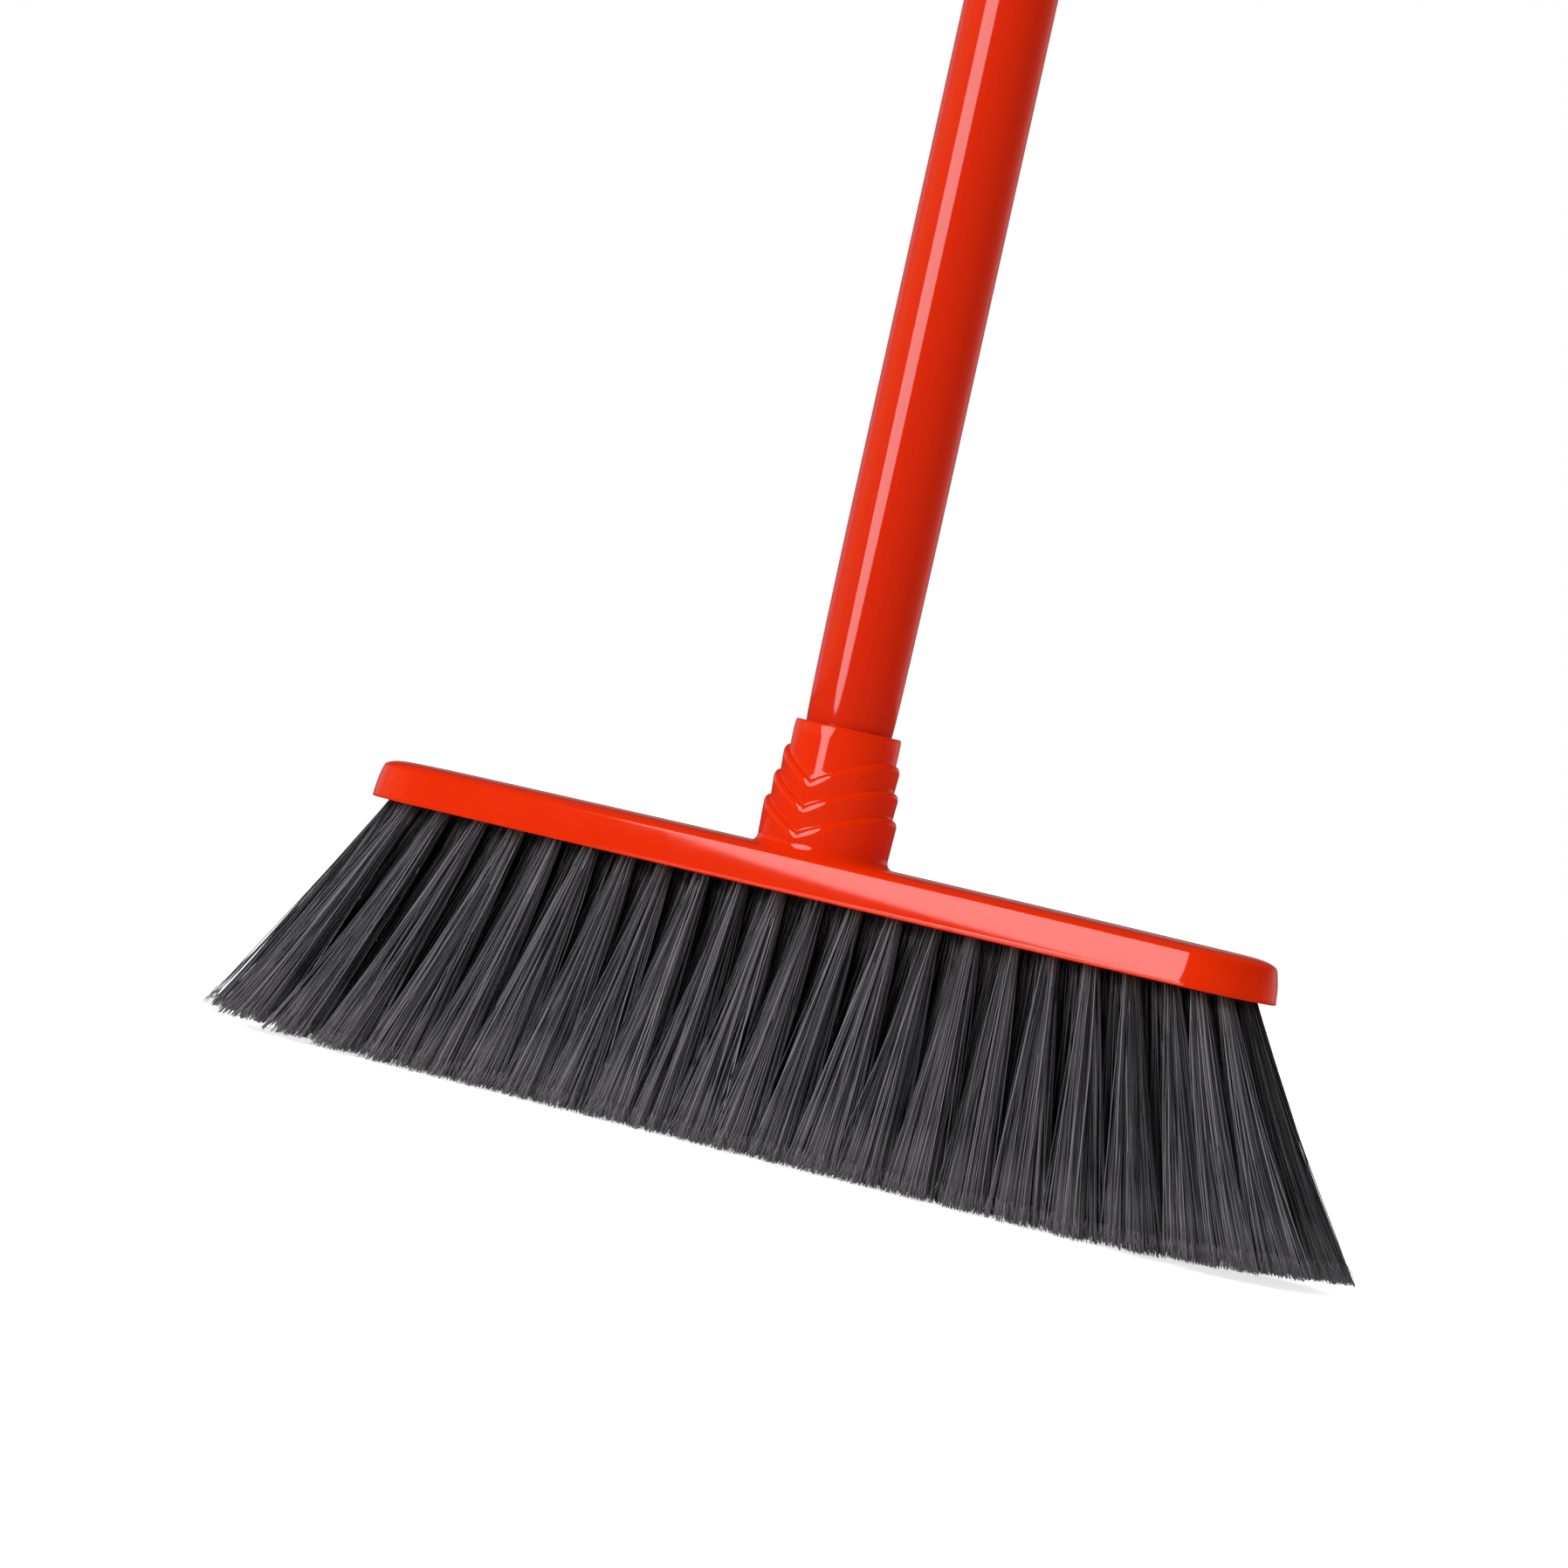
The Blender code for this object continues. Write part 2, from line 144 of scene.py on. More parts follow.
class BroomTufts(bpy.types.PropertyGroup):
    strands: IntProperty(name="Filaments", description="Filaments in a tuft", default=150, min=1)
    diameter: length("Diameter", "Thickness of one filament", 0.00036)
    hole_radius: length("Hole radius", "Radius of an outer tuft's hole in the underside", 0.0024)
    core_hole: length("Core hole", "Radius of an inner tuft's hole in the underside", 0.0031)
    rows: IntProperty(name="Rows", description="Rows of tufts across the head", default=5, min=3)
    edge_to_row: length("Edge to row", "From the head's edge to the outer row of tufts", 0.00705)
    left_flare: length("Left flare", "How far the leftmost tufts lean out", 0.0335)
    right_flare: length("Right flare", "How far the rightmost tufts lean out", 0.0415)
    side_flare: length("Side flare", "How far the outer rows lean out", 0.017)
    end_rise: length("End rise", "How much shorter the endmost tufts are trimmed", 0.0035)
    flat_half: length("Flat half", "Half of the length that is trimmed flat", 0.085)
    spread: length("Spread", "Radius that a tuft of the outer rows opens to at its tips", 0.0092)
    core_spread: length("Core spread", "Radius that an inner tuft opens to at its tips", 0.0115)
    flag: length("Flag", "Length over which each tip is split", 0.009)


class BroomHandle(bpy.types.PropertyGroup):
    wall: length("Wall", "Wall of the coated tube", 0.0004)
    taper: length("Taper", "How much the tube's radius shrinks towards the socket", 0.00042)
    taper_height: length("Taper height", "Height above the socket where the taper starts", 0.06)
    nip: length("Nip", "How much more the tube's radius shrinks just above the socket", 0.00025)
    thread_pitch: length("Thread pitch", "Rise of the screw thread in one turn", 0.00508)
    thread_depth: length("Thread depth", "Depth of the screw thread", 0.0013)
    collar_height: length("Collar height", "Height of the cap's collar above the tube", 0.008)
    eye_thickness: length("Eye thickness", "Thickness of the cap's flat eye", 0.008)
    eye_hole: length("Eye hole", "Diameter of the hanging hole", 0.009)
    eye_drop: length("Eye drop", "From the top of the cap to the middle of its hole", 0.0105)


class BroomColours(bpy.types.PropertyGroup):
    head: colour("Head", "Moulded red of the head", "#EC2F03")
    head_deep: colour("Head, deep", "Red in the thicker flow of the moulding", "#E42902")
    tube: colour("Tube", "Coating of the tube", "#DE2A08")
    tube_deep: colour("Tube, deep", "Coating where it was drawn thicker", "#D42606")
    cap: colour("Cap", "Moulded red of the hanging cap", "#D92F10")
    plug: colour("Plug", "Moulded grey of the threaded plug", "#6E7074")
    plug_deep: colour("Plug, deep", "Grey in the thicker flow of the plug", "#65676B")
    strand_dark: colour("Filament, dark", "Darkest filaments", "#242427")
    strand: colour("Filament", "Usual filaments", "#525154")
    strand_light: colour("Filament, light", "Palest filaments", "#949196")
    strand_tip: colour("Filament tips", "Split tips of the filaments", "#928F92")
    # Painted shade: darkens the greys of the inner and right-end filaments, for the shade deep in the
    # tufts.
    core: FloatProperty(
        name="Core", description="Brightness of the inner filaments beside the outer ones",
        default=0.44, min=0.0, max=1.0, subtype="FACTOR",
    )
    floor: colour("Floor", "Studio floor", "#F4F4F4")
    screen: colour("Screen", "Warm screen on the left, as the gloss shows it", "#FFF6B4")


class BroomStudio(bpy.types.PropertyGroup):
    azimuth: angle("Azimuth", "Softbox, left of the head's front", 16.6)
    elevation: angle("Elevation", "Softbox, above the floor", 13.3)
    strength: power("Strength", "Power of the softbox", 9.1)
    top_azimuth: angle("Top azimuth", "Top light, left of the head's front", 45.0)
    top_elevation: angle("Top elevation", "Top light, above the floor", 75.0)
    top_strength: power("Top strength", "Power of the top light", 6.0)
    rear_azimuth: angle("Rear azimuth", "Rear light, left of the head's front", 180.0)
    rear_elevation: angle("Rear elevation", "Rear light, above the floor", 25.0)
    rear_strength: power("Rear strength", "Power of the rear light", 9.1)
    distance: length("Distance", "From the head to each light", 1.5)
    diameter: length("Diameter", "Across each round light", 0.846)
    fill: FloatProperty(
        name="Fill", description="Even light from all round", default=0.535, min=0.0
    )


def add(tree, kind, links=None, **settings):
    """Adds a node, sets its properties, and links or sets its inputs by name or number."""
    node = tree.nodes.new(kind)
    for name, value in settings.items():
        setattr(node, name, value)
    for socket, value in (links or {}).items():
        if isinstance(value, bpy.types.NodeSocket):
            tree.links.new(value, node.inputs[socket])
        else:
            node.inputs[socket].default_value = value
    return node


def new_material(name):
    """An empty node material, with its tree and output."""
    material = bpy.data.materials.new(name)
    material.use_nodes = True
    material.node_tree.nodes.clear()
    return material, material.node_tree, add(material.node_tree, "ShaderNodeOutputMaterial")


def rgba(value):
    """A linear colour with full alpha, as a colour socket takes it."""
    return (*value, 1.0)


WHITE = rgba((1.0, 1.0, 1.0))
# Colour sockets of a Mix node, by number because their names repeat for each type of data.
MIX_A, MIX_B, MIX_RESULT = 6, 7, 2
# Values that most of a noise texture lies between.
NOISE_LOW, NOISE_HIGH = 0.3, 0.7
# Height of the bumps in the moulded skins and in the tube's coat.
BUMP = 0.05 * MM
# Heights at which the filaments are frayed most, and at which the fraying ends.
FRAY_LOW, FRAY_HIGH = 0.001, 0.02


def moulded_polypropylene(name, colours, roughness, peel):
    """Moulded polypropylene: even colour, faint flow marks, a clear gloss and a slight peel."""
    material, tree, out = new_material(name)
    place = add(tree, "ShaderNodeTexCoord").outputs["Object"]
    # Flow marks of the melt, about 25 mm apart.
    marks = add(
        tree, "ShaderNodeTexNoise",
        {"Vector": place, "Scale": 1 / (25 * MM), "Detail": 3.0, "Distortion": 0.6},
    )
    tint = add(
        tree, "ShaderNodeMix",
        {"Factor": marks.outputs["Fac"], MIX_A: rgba(colours[0]), MIX_B: rgba(colours[1])},
        data_type="RGBA",
    )
    # The die's polish wanders over about 6 mm.
    polish = add(
        tree, "ShaderNodeTexNoise", {"Vector": place, "Scale": 1 / (6 * MM), "Detail": 4.0}
    )
    rough = add(
        tree, "ShaderNodeMapRange",
        {
            "Value": polish.outputs["Fac"], "From Min": NOISE_LOW, "From Max": NOISE_HIGH,
            "To Min": roughness[0], "To Max": roughness[1],
        },
    )
    # Orange peel of the skin, about 1.6 mm across.
    skin = add(
        tree, "ShaderNodeTexNoise", {"Vector": place, "Scale": 1 / (1.6 * MM), "Detail": 2.0}
    )
    bump = add(
        tree, "ShaderNodeBump",
        {"Strength": peel, "Distance": BUMP, "Height": skin.outputs["Fac"]},
    )
    shader = add(
        tree, "ShaderNodeBsdfPrincipled",
        {
            "Base Color": tint.outputs[MIX_RESULT], "Roughness": rough.outputs["Result"],
            "Normal": bump.outputs["Normal"], "IOR": 1.49,
        },
    )
    tree.links.new(shader.outputs["BSDF"], out.inputs["Surface"])
    return material


def coated_tube_finish(colours):
    """Drawn plastic coat on a steel tube: long faint streaks, and a satin gloss that follows them."""
    material, tree, out = new_material("steel_tube_plastic_coat")
    place = add(tree, "ShaderNodeTexCoord").outputs["Object"]
    # Streaks about 1.5 mm wide that run some 120 mm along the tube.
    across, along = 1 / (1.5 * MM), 1 / (120 * MM)
    drawn = add(tree, "ShaderNodeMapping", {"Vector": place, "Scale": (across, across, along)})
    streak = add(
        tree, "ShaderNodeTexNoise",
        {"Vector": drawn.outputs["Vector"], "Scale": 1.0, "Detail": 3.0},
    ).outputs["Fac"]
    tint = add(
        tree, "ShaderNodeMix",
        {"Factor": streak, MIX_A: rgba(colours.tube), MIX_B: rgba(colours.tube_deep)},
        data_type="RGBA",
    )
    rough = add(
        tree, "ShaderNodeMapRange",
        {
            "Value": streak, "From Min": NOISE_LOW, "From Max": NOISE_HIGH,
            "To Min": 0.05, "To Max": 0.09,
        },
    )
    bump = add(tree, "ShaderNodeBump", {"Strength": 0.04, "Distance": BUMP, "Height": streak})
    shader = add(
        tree, "ShaderNodeBsdfPrincipled",
        {
            "Base Color": tint.outputs[MIX_RESULT], "Roughness": rough.outputs["Result"],
            "Normal": bump.outputs["Normal"], "IOR": 1.48,
        },
    )
    tree.links.new(shader.outputs["BSDF"], out.inputs["Surface"])
    return material


def flagged_filament(name, colours, share):
    """Drawn polyester filament: each strand its own grey, a thin sheen along it, dull frayed tips."""
    material, tree, out = new_material(name)
    strand = add(tree, "ShaderNodeNewGeometry").outputs["Random Per Island"]
    shade = add(tree, "ShaderNodeValToRGB", {"Fac": strand})
    stops = shade.color_ramp.elements
    stops.new(0.5)
    # A share below 1 darkens every grey as painted shade.
    for stop, grey in zip(stops, (colours.strand_dark, colours.strand, colours.strand_light)):
        stop.color = rgba([level * share for level in grey])
    place = add(tree, "ShaderNodeTexCoord").outputs["Object"]
    height = add(tree, "ShaderNodeSeparateXYZ", {"Vector": place}).outputs["Z"]
    frayed = add(
        tree, "ShaderNodeMapRange",
        {"Value": height, "From Min": FRAY_HIGH, "From Max": FRAY_LOW, "To Max": 0.65},
    )
    tint = add(
        tree, "ShaderNodeMix",
        {
            "Factor": frayed.outputs["Result"], MIX_A: shade.outputs["Color"],
            MIX_B: rgba(colours.strand_tip),
        },
        data_type="RGBA",
    )
    rough = add(
        tree, "ShaderNodeMapRange",
        {
            "Value": height, "From Min": FRAY_LOW, "From Max": FRAY_HIGH,
            "To Min": 0.6, "To Max": 0.36,
        },
    )
    shader = add(
        tree, "ShaderNodeBsdfPrincipled",
        {
            "Base Color": tint.outputs[MIX_RESULT], "Roughness": rough.outputs["Result"],
            "IOR": 1.57,
        },
    )
    tree.links.new(shader.outputs["BSDF"], out.inputs["Surface"])
    return material


def ring(side, front, heights, count):
    """Points round an oval, counted from +X, at one height or at a height for each point."""
    turn = np.arange(count) * (2 * math.pi / count)
    return np.stack([side * np.cos(turn), front * np.sin(turn), np.zeros(count) + heights], axis=1)


def show(name, mesh, *materials):
    """Links a smooth-shaded mesh into the scene as an object."""
    mesh.materials.clear()
    for material in materials:
        mesh.materials.append(material)
    mesh.shade_smooth()
    piece = bpy.data.objects.new(name, mesh)
    bpy.context.scene.collection.objects.link(piece)
    return piece


def loft(name, rings, material, closed=False):
    """Skins a stack of equal rings, with flat caps, or closed from the last ring to the first."""
    count, last = len(rings[0]), len(rings) - 1
    near = np.arange(count)
    far = np.roll(near, -1)
    pairs = [(row, row + 1) for row in range(last)]
    if closed:
        pairs.append((last, 0))
    faces = []
    for pair in pairs:
        low, high = (row * count for row in pair)
        faces += np.stack([near + low, far + low, far + high, near + high], axis=1).tolist()
    if not closed:
        faces += [near[::-1].tolist(), (near + last * count).tolist()]
    mesh = bpy.data.meshes.new(name)
    mesh.from_pydata(np.concatenate(rings).tolist(), [], faces)
    return show(name, mesh, material)


def combine(piece, other, operation):
    """Joins or cuts a piece with another closed shape, which is used up."""
    step = piece.modifiers.new(operation.lower(), "BOOLEAN")
    step.operation = operation
    step.solver = "EXACT"
    step.object = other
    graph = bpy.context.evaluated_depsgraph_get()
    made = bpy.data.meshes.new_from_object(piece.evaluated_get(graph))
    piece.modifiers.clear()
    old = piece.data
    name = old.name
    piece.data = made
    bpy.data.meshes.remove(old)
    made.name = name
    bpy.data.objects.remove(other)
    if not len(made.polygons):
        raise RuntimeError(f"{name} is empty after its {operation.lower()}")


def settle(piece, body, slot, *nodes):
    """Puts a finished piece on its body and hides the solids it stands for. Its slot is not used."""
    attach(piece, body)
    if nodes:
        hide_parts(*nodes)


# Lean of the crown's arc where it leaves the side face.
CROWN_START = math.radians(25)
# Depth of the recess in the underside, the chamfer of its edge, and the rows that these take up.
RECESS_DEPTH, RECESS_CHAMFER, RECESS_ROWS = 0.0033, 0.00012, 3
# Inset and height along the round of the lip's lower edge.
LIP_ROUND = ((0.0005, 0.0), (0.00022, 0.00005), (0.00006, 0.0002), (0.0, 0.00042))
# Share of the lip's step and depth below the lip along the round of its upper edge.
LIP_EDGE = ((0.0, 0.00015), (0.3, 0.00005), (0.9, 0.0))
# Shares of the end's radius at which rings lie on the flat of the top.
FLAT_RINGS = (0.62, 0.8, 0.93, 0.998)
# Rows on the side face, on the rounded crease above it and on the crown.
FACE_ROWS, CREASE_ROWS, CROWN_ROWS = 18, 7, 14
# Where the rows on the side face start and end, as shares of its height.
FACE_START, FACE_END = 0.02, 0.95
# Points round each end and along each side of the block, and of the plate in its underside.
BLOCK_POINTS, PLATE_POINTS = (48, 40), (32, 2)


def crown_profile(head):
    """Inset and height of the crowned top from the side face's upper edge to its flat middle."""
    start = CROWN_START
    inset = head.lip_step + head.face_draft
    base = head.lip_height + head.face_height
    rows = []
    for turn in np.linspace(start, QUARTER, CROWN_ROWS):
        run = (math.cos(start) - math.cos(turn)) / math.cos(start)
        rise = (math.sin(turn) - math.sin(start)) / (1 - math.sin(start))
        rows.append((inset + head.crown_width * run, base + head.crown_height * rise))
    return rows


def crown_height(head, x, y):
    """Height of the block's top surface above its underside at a point inside its outline."""
    inset = END_RADIUS - np.hypot(np.maximum(np.abs(x) - STRAIGHT_HALF, 0), y)
    insets, heights = zip(*crown_profile(head))
    return np.interp(inset, insets, heights) - head.camber * (x / HEAD_HIGH.x) ** 2


def block_rows(head):
    """Inset and height of the block's section, from its recess round the lip and over the crown."""
    lip = head.lip_height
    rows = [(head.wall, RECESS_DEPTH), (head.wall, RECESS_CHAMFER)]
    rows += [(head.wall - RECESS_CHAMFER, 0.0), *LIP_ROUND]
    rows += [(share * head.lip_step, lip - depth) for share, depth in LIP_EDGE]
    for share in np.linspace(FACE_START, FACE_END, FACE_ROWS):
        bulge = 4 * share * (1 - share) * head.face_bulge
        inset = head.lip_step + share * head.face_draft - bulge
        rows.append((inset, lip + share * head.face_height))
    crown = crown_profile(head)
    # The crease under the crown is rounded from the face's last point to the crown's second.
    near, peak, far = np.array(rows[-1]), np.array(crown[0]), np.array(crown[1])
    for t in np.linspace(0, 1, CREASE_ROWS)[1:-1]:
        rows.append(tuple(near * (1 - t) ** 2 + 2 * peak * t * (1 - t) + far * t**2))
    rows += crown[1:]
    top = crown[-1][1]
    return rows + [(END_RADIUS * share, top) for share in FLAT_RINGS]


def outline(end_steps, side_steps):
    """Spine points and outward directions round the stadium, counted from the right end's front."""
    turn = np.linspace(-QUARTER, QUARTER, end_steps + 1)
    run = np.linspace(STRAIGHT_HALF, -STRAIGHT_HALF, side_steps + 1)[1:-1]
    right = [(STRAIGHT_HALF, math.cos(a), math.sin(a)) for a in turn]
    left = [(-STRAIGHT_HALF, -math.cos(a), -math.sin(a)) for a in turn]
    back = [(x, 0.0, 1.0) for x in run]
    front = [(-x, 0.0, -1.0) for x in run]
    return np.array(right + back + left + front)


def block_rings(head):
    """Rings of the block, whose round ends lean in more than its straight sides."""
    spine = outline(*BLOCK_POINTS)
    base = head.lip_height + head.face_height
    full = base + head.crown_height
    rings = []
    for row, (inset, height) in enumerate(block_rows(head)):
        recess = row < RECESS_ROWS
        lean = head.end_draft * min((height / base) ** 2, (full - height) / head.crown_height)
        if recess or inset >= END_RADIUS * FLAT_RINGS[0]:
            lean = 0.0
        reach = END_RADIUS - inset - lean * spine[:, 1] ** 2
        x = spine[:, 0] + spine[:, 1] * reach
        drop = head.camber * (x / HEAD_HIGH.x) ** 2 * (0 if recess else height / full)
        rings.append(np.stack([x, spine[:, 2] * reach, HEAD_LOW.z + height - drop], axis=1))
    return rings


# Points in each ring of the socket.
SOCKET_POINTS = 288
# Rings of the foot's fillet, a tier's wall, a step's round, a step's fillet and the top tier's wall.
FOOT_ROWS, TIER_ROWS, EDGE_ROWS, FILLET_ROWS, TOP_ROWS = 9, 8, 12, 8, 16
# How much closer the rings of the top tier's wall lie towards the rim: 1 is even.
TOP_CROWDING = 1.6
# Share of the socket's radius over which the point of a chevron is rounded.
CHEVRON_POINT = 0.015
# Depth below the rim at which the top tier's taper is measured.
TOP_TAPER_DEPTH = 0.016
# Depth below the rim at which the round of its outer edge starts.
RIM_ROUND = 0.0005
# Distance in from the wall and depth below the rim along that round.
RIM_OUTSIDE = ((0.00008, 0.00024), (0.00023, 0.00007), (0.00048, 0.0))
# Distance out from the bore and depth below the rim along the round of its inner edge.
RIM_INSIDE = ((0.0004, 0.0), (0.00015, 0.00006), (0.00002, 0.00025), (0.0, 0.0006))
# Depth of the bore below the plug.
BORE_FLOOR = 0.0004
# Height in the block at which the socket starts, and how far its foot's edge sinks in the crown.
FOOT_START, FOOT_SINK = 0.006, 0.00003
# Width of the foot's fillet at the sides and front beside its radius, and how much taller it gets.
FOOT_SIDE, FOOT_FRONT, FOOT_TALLER = 1.3, 0.8, 0.5
# Share of a step's width that its rounded edge takes up. The fillet takes up the rest.
EDGE_SHARE = 0.6
# How much taller a step's round is at the front and back than at the sides.
EDGE_TALLER = 0.7
# Height of a step's fillet at the sides, and what it gains at the front, as shares of the whole.
FILLET_SIDE, FILLET_FRONT = 0.8, 0.2


def chevron(head, count):
    """How far a step dips at each point round the socket: straight arms, seen from the front."""
    across = ring(1, 1, 0, count)[:, 0]
    return head.chevron_drop * (1 - np.sqrt(across**2 + CHEVRON_POINT**2))


def top_wall(head, below):
    """Radius of the top tier at a depth below the rim: a slight cone that turns in at the rim."""
    turn_in = head.rim_ease * np.maximum(0, 1 - below / head.rim_fall) ** 2
    return head.rim_radius - head.top_taper * below / TOP_TAPER_DEPTH - turn_in


def socket_foot(head, side, front, facing):
    """Rings of the fillet at the socket's foot, which is wider at the sides, taller at the front."""
    count = len(facing)
    wide, deep = head.root_fillet * FOOT_SIDE, head.root_fillet * FOOT_FRONT
    tall = head.root_fillet * (1 + FOOT_TALLER * facing)
    rings = [ring(side + wide, front + deep, HEAD_LOW.z + FOOT_START, count)]
    for turn in np.linspace(0, QUARTER, FOOT_ROWS):
        out, up = 1 - math.sin(turn), 1 - math.cos(turn)
        points = ring(side + wide * out, front + deep * out, 0, count)
        top = HEAD_LOW.z + crown_height(head, points[:, 0], points[:, 1])
        points[:, 2] = top + tall * up - FOOT_SINK * (1 - up)
        rings.append(points)
    return rings


def step_edge(convex, concave):
    """Share of a step's width and height along its round edge and the fillet under the next tier."""
    rest = 1 - EDGE_SHARE
    edge = []
    for turn in np.linspace(0, QUARTER, EDGE_ROWS)[1:]:
        edge.append((rest + EDGE_SHARE * math.cos(turn), convex * (math.sin(turn) - 1)))
    for turn in np.linspace(0, QUARTER, FILLET_ROWS)[1:]:
        edge.append((rest * (1 - math.sin(turn)), concave * (1 - math.cos(turn))))
    return edge


def rim_rings(head, count):
    """Rings over the rim, down the counterbore to the tube's seat and on down the thread's bore."""
    wall, bore, seat = top_wall(head, RIM_ROUND), head.bore_radius, TUBE_LOW.z - GAP
    path = [(wall - inset, RIM - depth) for inset, depth in RIM_OUTSIDE]
    path += [(bore + inset, RIM - depth) for inset, depth in RIM_INSIDE]
    path += [(bore, seat), (THREAD_BORE, seat), (THREAD_BORE, PLUG_LOW.z - BORE_FLOOR)]
    return [ring(r, r, z, count) for r, z in path]


def socket_rings(head, count):
    """Rings of the stepped socket, from inside the block up its outside and down its bore."""
    dip = chevron(head, count)
    facing = np.abs(ring(1, 1, 0, count)[:, 1])
    steps = [RIM - head.top_tier - i * head.tier_pitch - dip for i in range(3)]
    # Both the round and the fillet of a step are taller at the front and back.
    convex = head.step_round * (1 + EDGE_TALLER * facing)
    concave = head.step_fillet * (FILLET_SIDE + FILLET_FRONT * facing)
    tiers = [
        (head.rim_radius + i * head.side_step, head.rim_radius + i * head.front_step)
        for i in range(4)
    ]
    flare = head.tier_flare / 2
    rings = socket_foot(head, *(wide - flare for wide in tiers[3]), facing)
    low = rings[-1][:, 2]
    for tier in (3, 2, 1):
        side, front = (wide + flare for wide in tiers[tier])
        step = steps[tier - 1]
        inner = [wide - flare for wide in tiers[tier - 1]]
        if tier == 1:
            inner = [top_wall(head, RIM - step - concave)] * 2
        for share in np.linspace(0, 1, TIER_ROWS)[1:]:
            narrow = head.tier_flare * (1 - share)
            height = low + share * (step - convex - low)
            rings.append(ring(side - narrow, front - narrow, height, count))
        for share, height in step_edge(convex, concave):
            wide = [near + share * (far - near) for near, far in zip(inner, (side, front))]
            rings.append(ring(*wide, step + height, count))
        low = step + concave
    # The rings of the top tier's wall lie closer together towards the rim.
    for share in 1 - np.linspace(1, 0, TOP_ROWS)[1:] ** TOP_CROWDING:
        below = (RIM - low) * (1 - share) + RIM_ROUND * share
        wide = top_wall(head, below)
        rings.append(ring(wide, wide, RIM - below, count))
    return rings + rim_rings(head, count)


# Each end's direction along X, and where the tufts inside its ring stand across the head.
END_TUFTS = {"tuft_end_right": (1, (-0.005, 0.005)), "tuft_end_left": (-1, (0.0,))}
# Tufts in the ring round each end, and the least distance round the end to the first of them.
END_RING, END_RING_START = 5, 0.0025
# Tufts nearer to the middle than this share of the outer row's distance are inner ones.
CORE_SHARE = 0.9
# Behind this place across the head, the right end's filaments get the same painted shade as the inner
# rows.
PAINTED_SHADE_FROM = -0.002
# Room between a tuft's filaments and its hole.
HOLE_ROOM = 0.0002
# Wisps in a tuft, how far their middles lie apart, and how loosely filaments keep to the nearest.
WISPS, WISP_SPREAD, WISP_MIXING = 9, 0.5, 0.15
# What a tip's place in the open tuft comes from: its root's place, its wisp's middle and chance.
FROM_ROOT, FROM_WISP, FROM_CHANCE = 0.55, 0.34, 0.17
# At the right end, tips beyond the first share of the spread lose the second share of the excess.
RIGHT_REACH, RIGHT_DRAW = 0.4, 0.8
# How much a filament bows, there and elsewhere, and how much this differs.
RIGHT_BOW, BOW, BOW_RANGE = 0.18, 0.08, 0.05
# Places along a filament as shares of its length, from inside its hole to its tip.
ALONG = np.array([-0.035, 0.06, 0.2, 0.36, 0.52, 0.68, 0.84, 1.0])
# Least height of a tip, and how unevenly tips are trimmed.
TIP_HEIGHT, TRIM = 0.0003, 0.0003
# How far a filament sways from its line, and in how many half waves.
SWAY, SWAY_WAVES = 0.0003, 1.5
# Least and greatest thickness of a filament beside the usual, and of its tip beside the rest of it.
THIN, THICK, TIP_SHARE = 0.8, 1.15, 0.6
# Places along a split end, and its radius there as a share of a filament's thickness.
FLAG_ALONG = np.array([0.0, 0.5, 1.0])
FLAG_RADII = np.array([0.3, 0.26, 0.18])
# Length of the longest split end beside the flag, and of the shortest beside the longest.
FLAG_LENGTH, FLAG_LEAST = 0.62, 0.55
# How far a split end strays, the share of that along each axis, and how late it bends away.
FLAG_STRAY, FLAG_STRAY_WAYS, FLAG_BEND = 0.0007, np.array([1, 1, 0.4]), 1.5
# Least height of a split end's middle line.
FLAG_HEIGHT = 0.00025


def tuft_roots(tufts):
    """Root of every tuft, in a list for each column and for the two ends."""
    outer = END_RADIUS - tufts.edge_to_row
    pitch = 2 * STRAIGHT_HALF / len(COLUMNS)
    stagger = pitch / 4
    groups = {}
    for index, name in enumerate(COLUMNS):
        x = (index + 0.5) * pitch - STRAIGHT_HALF
        rows = np.linspace(-outer, outer, tufts.rows)
        groups[name] = [(x + (-stagger if row % 2 else stagger), y) for row, y in enumerate(rows)]
    for name, (side, inside) in END_TUFTS.items():
        # The ring is spread evenly from the front row round to the rear row.
        lead_in = pitch * (2 - side) / 4
        apart = (2 * lead_in + math.pi * outer) / (END_RING + 1)
        first = max(apart - lead_in, END_RING_START) / outer
        roots = [(STRAIGHT_HALF + stagger, y) for y in inside]
        for turn in np.linspace(first - QUARTER, QUARTER - first, END_RING):
            roots.append((STRAIGHT_HALF + outer * math.cos(turn), outer * math.sin(turn)))
        groups[name] = [(side * x, y) for x, y in roots]
    return groups


def is_core(tufts, x, y):
    """Whether a tuft with its root at x, y stands inside the outer rows."""
    outer = END_RADIUS - tufts.edge_to_row
    return math.hypot(max(abs(x) - STRAIGHT_HALF, 0), y) < CORE_SHARE * outer


def tuft_tip(tufts, x, y):
    """Where the middle of a tuft's tip lies for a root at x, y."""
    outer = END_RADIUS - tufts.edge_to_row
    reach = STRAIGHT_HALF + outer
    lean = (tufts.right_flare if x > 0 else tufts.left_flare) * (x / reach) * abs(x / reach)
    late = max(0.0, abs(x) - tufts.flat_half) / (reach - tufts.flat_half)
    rise = tufts.end_rise * late**2
    share = 1 - rise / HEAD_LOW.z
    return np.array([x + lean * share, y + tufts.side_flare * share * y / outer, rise])


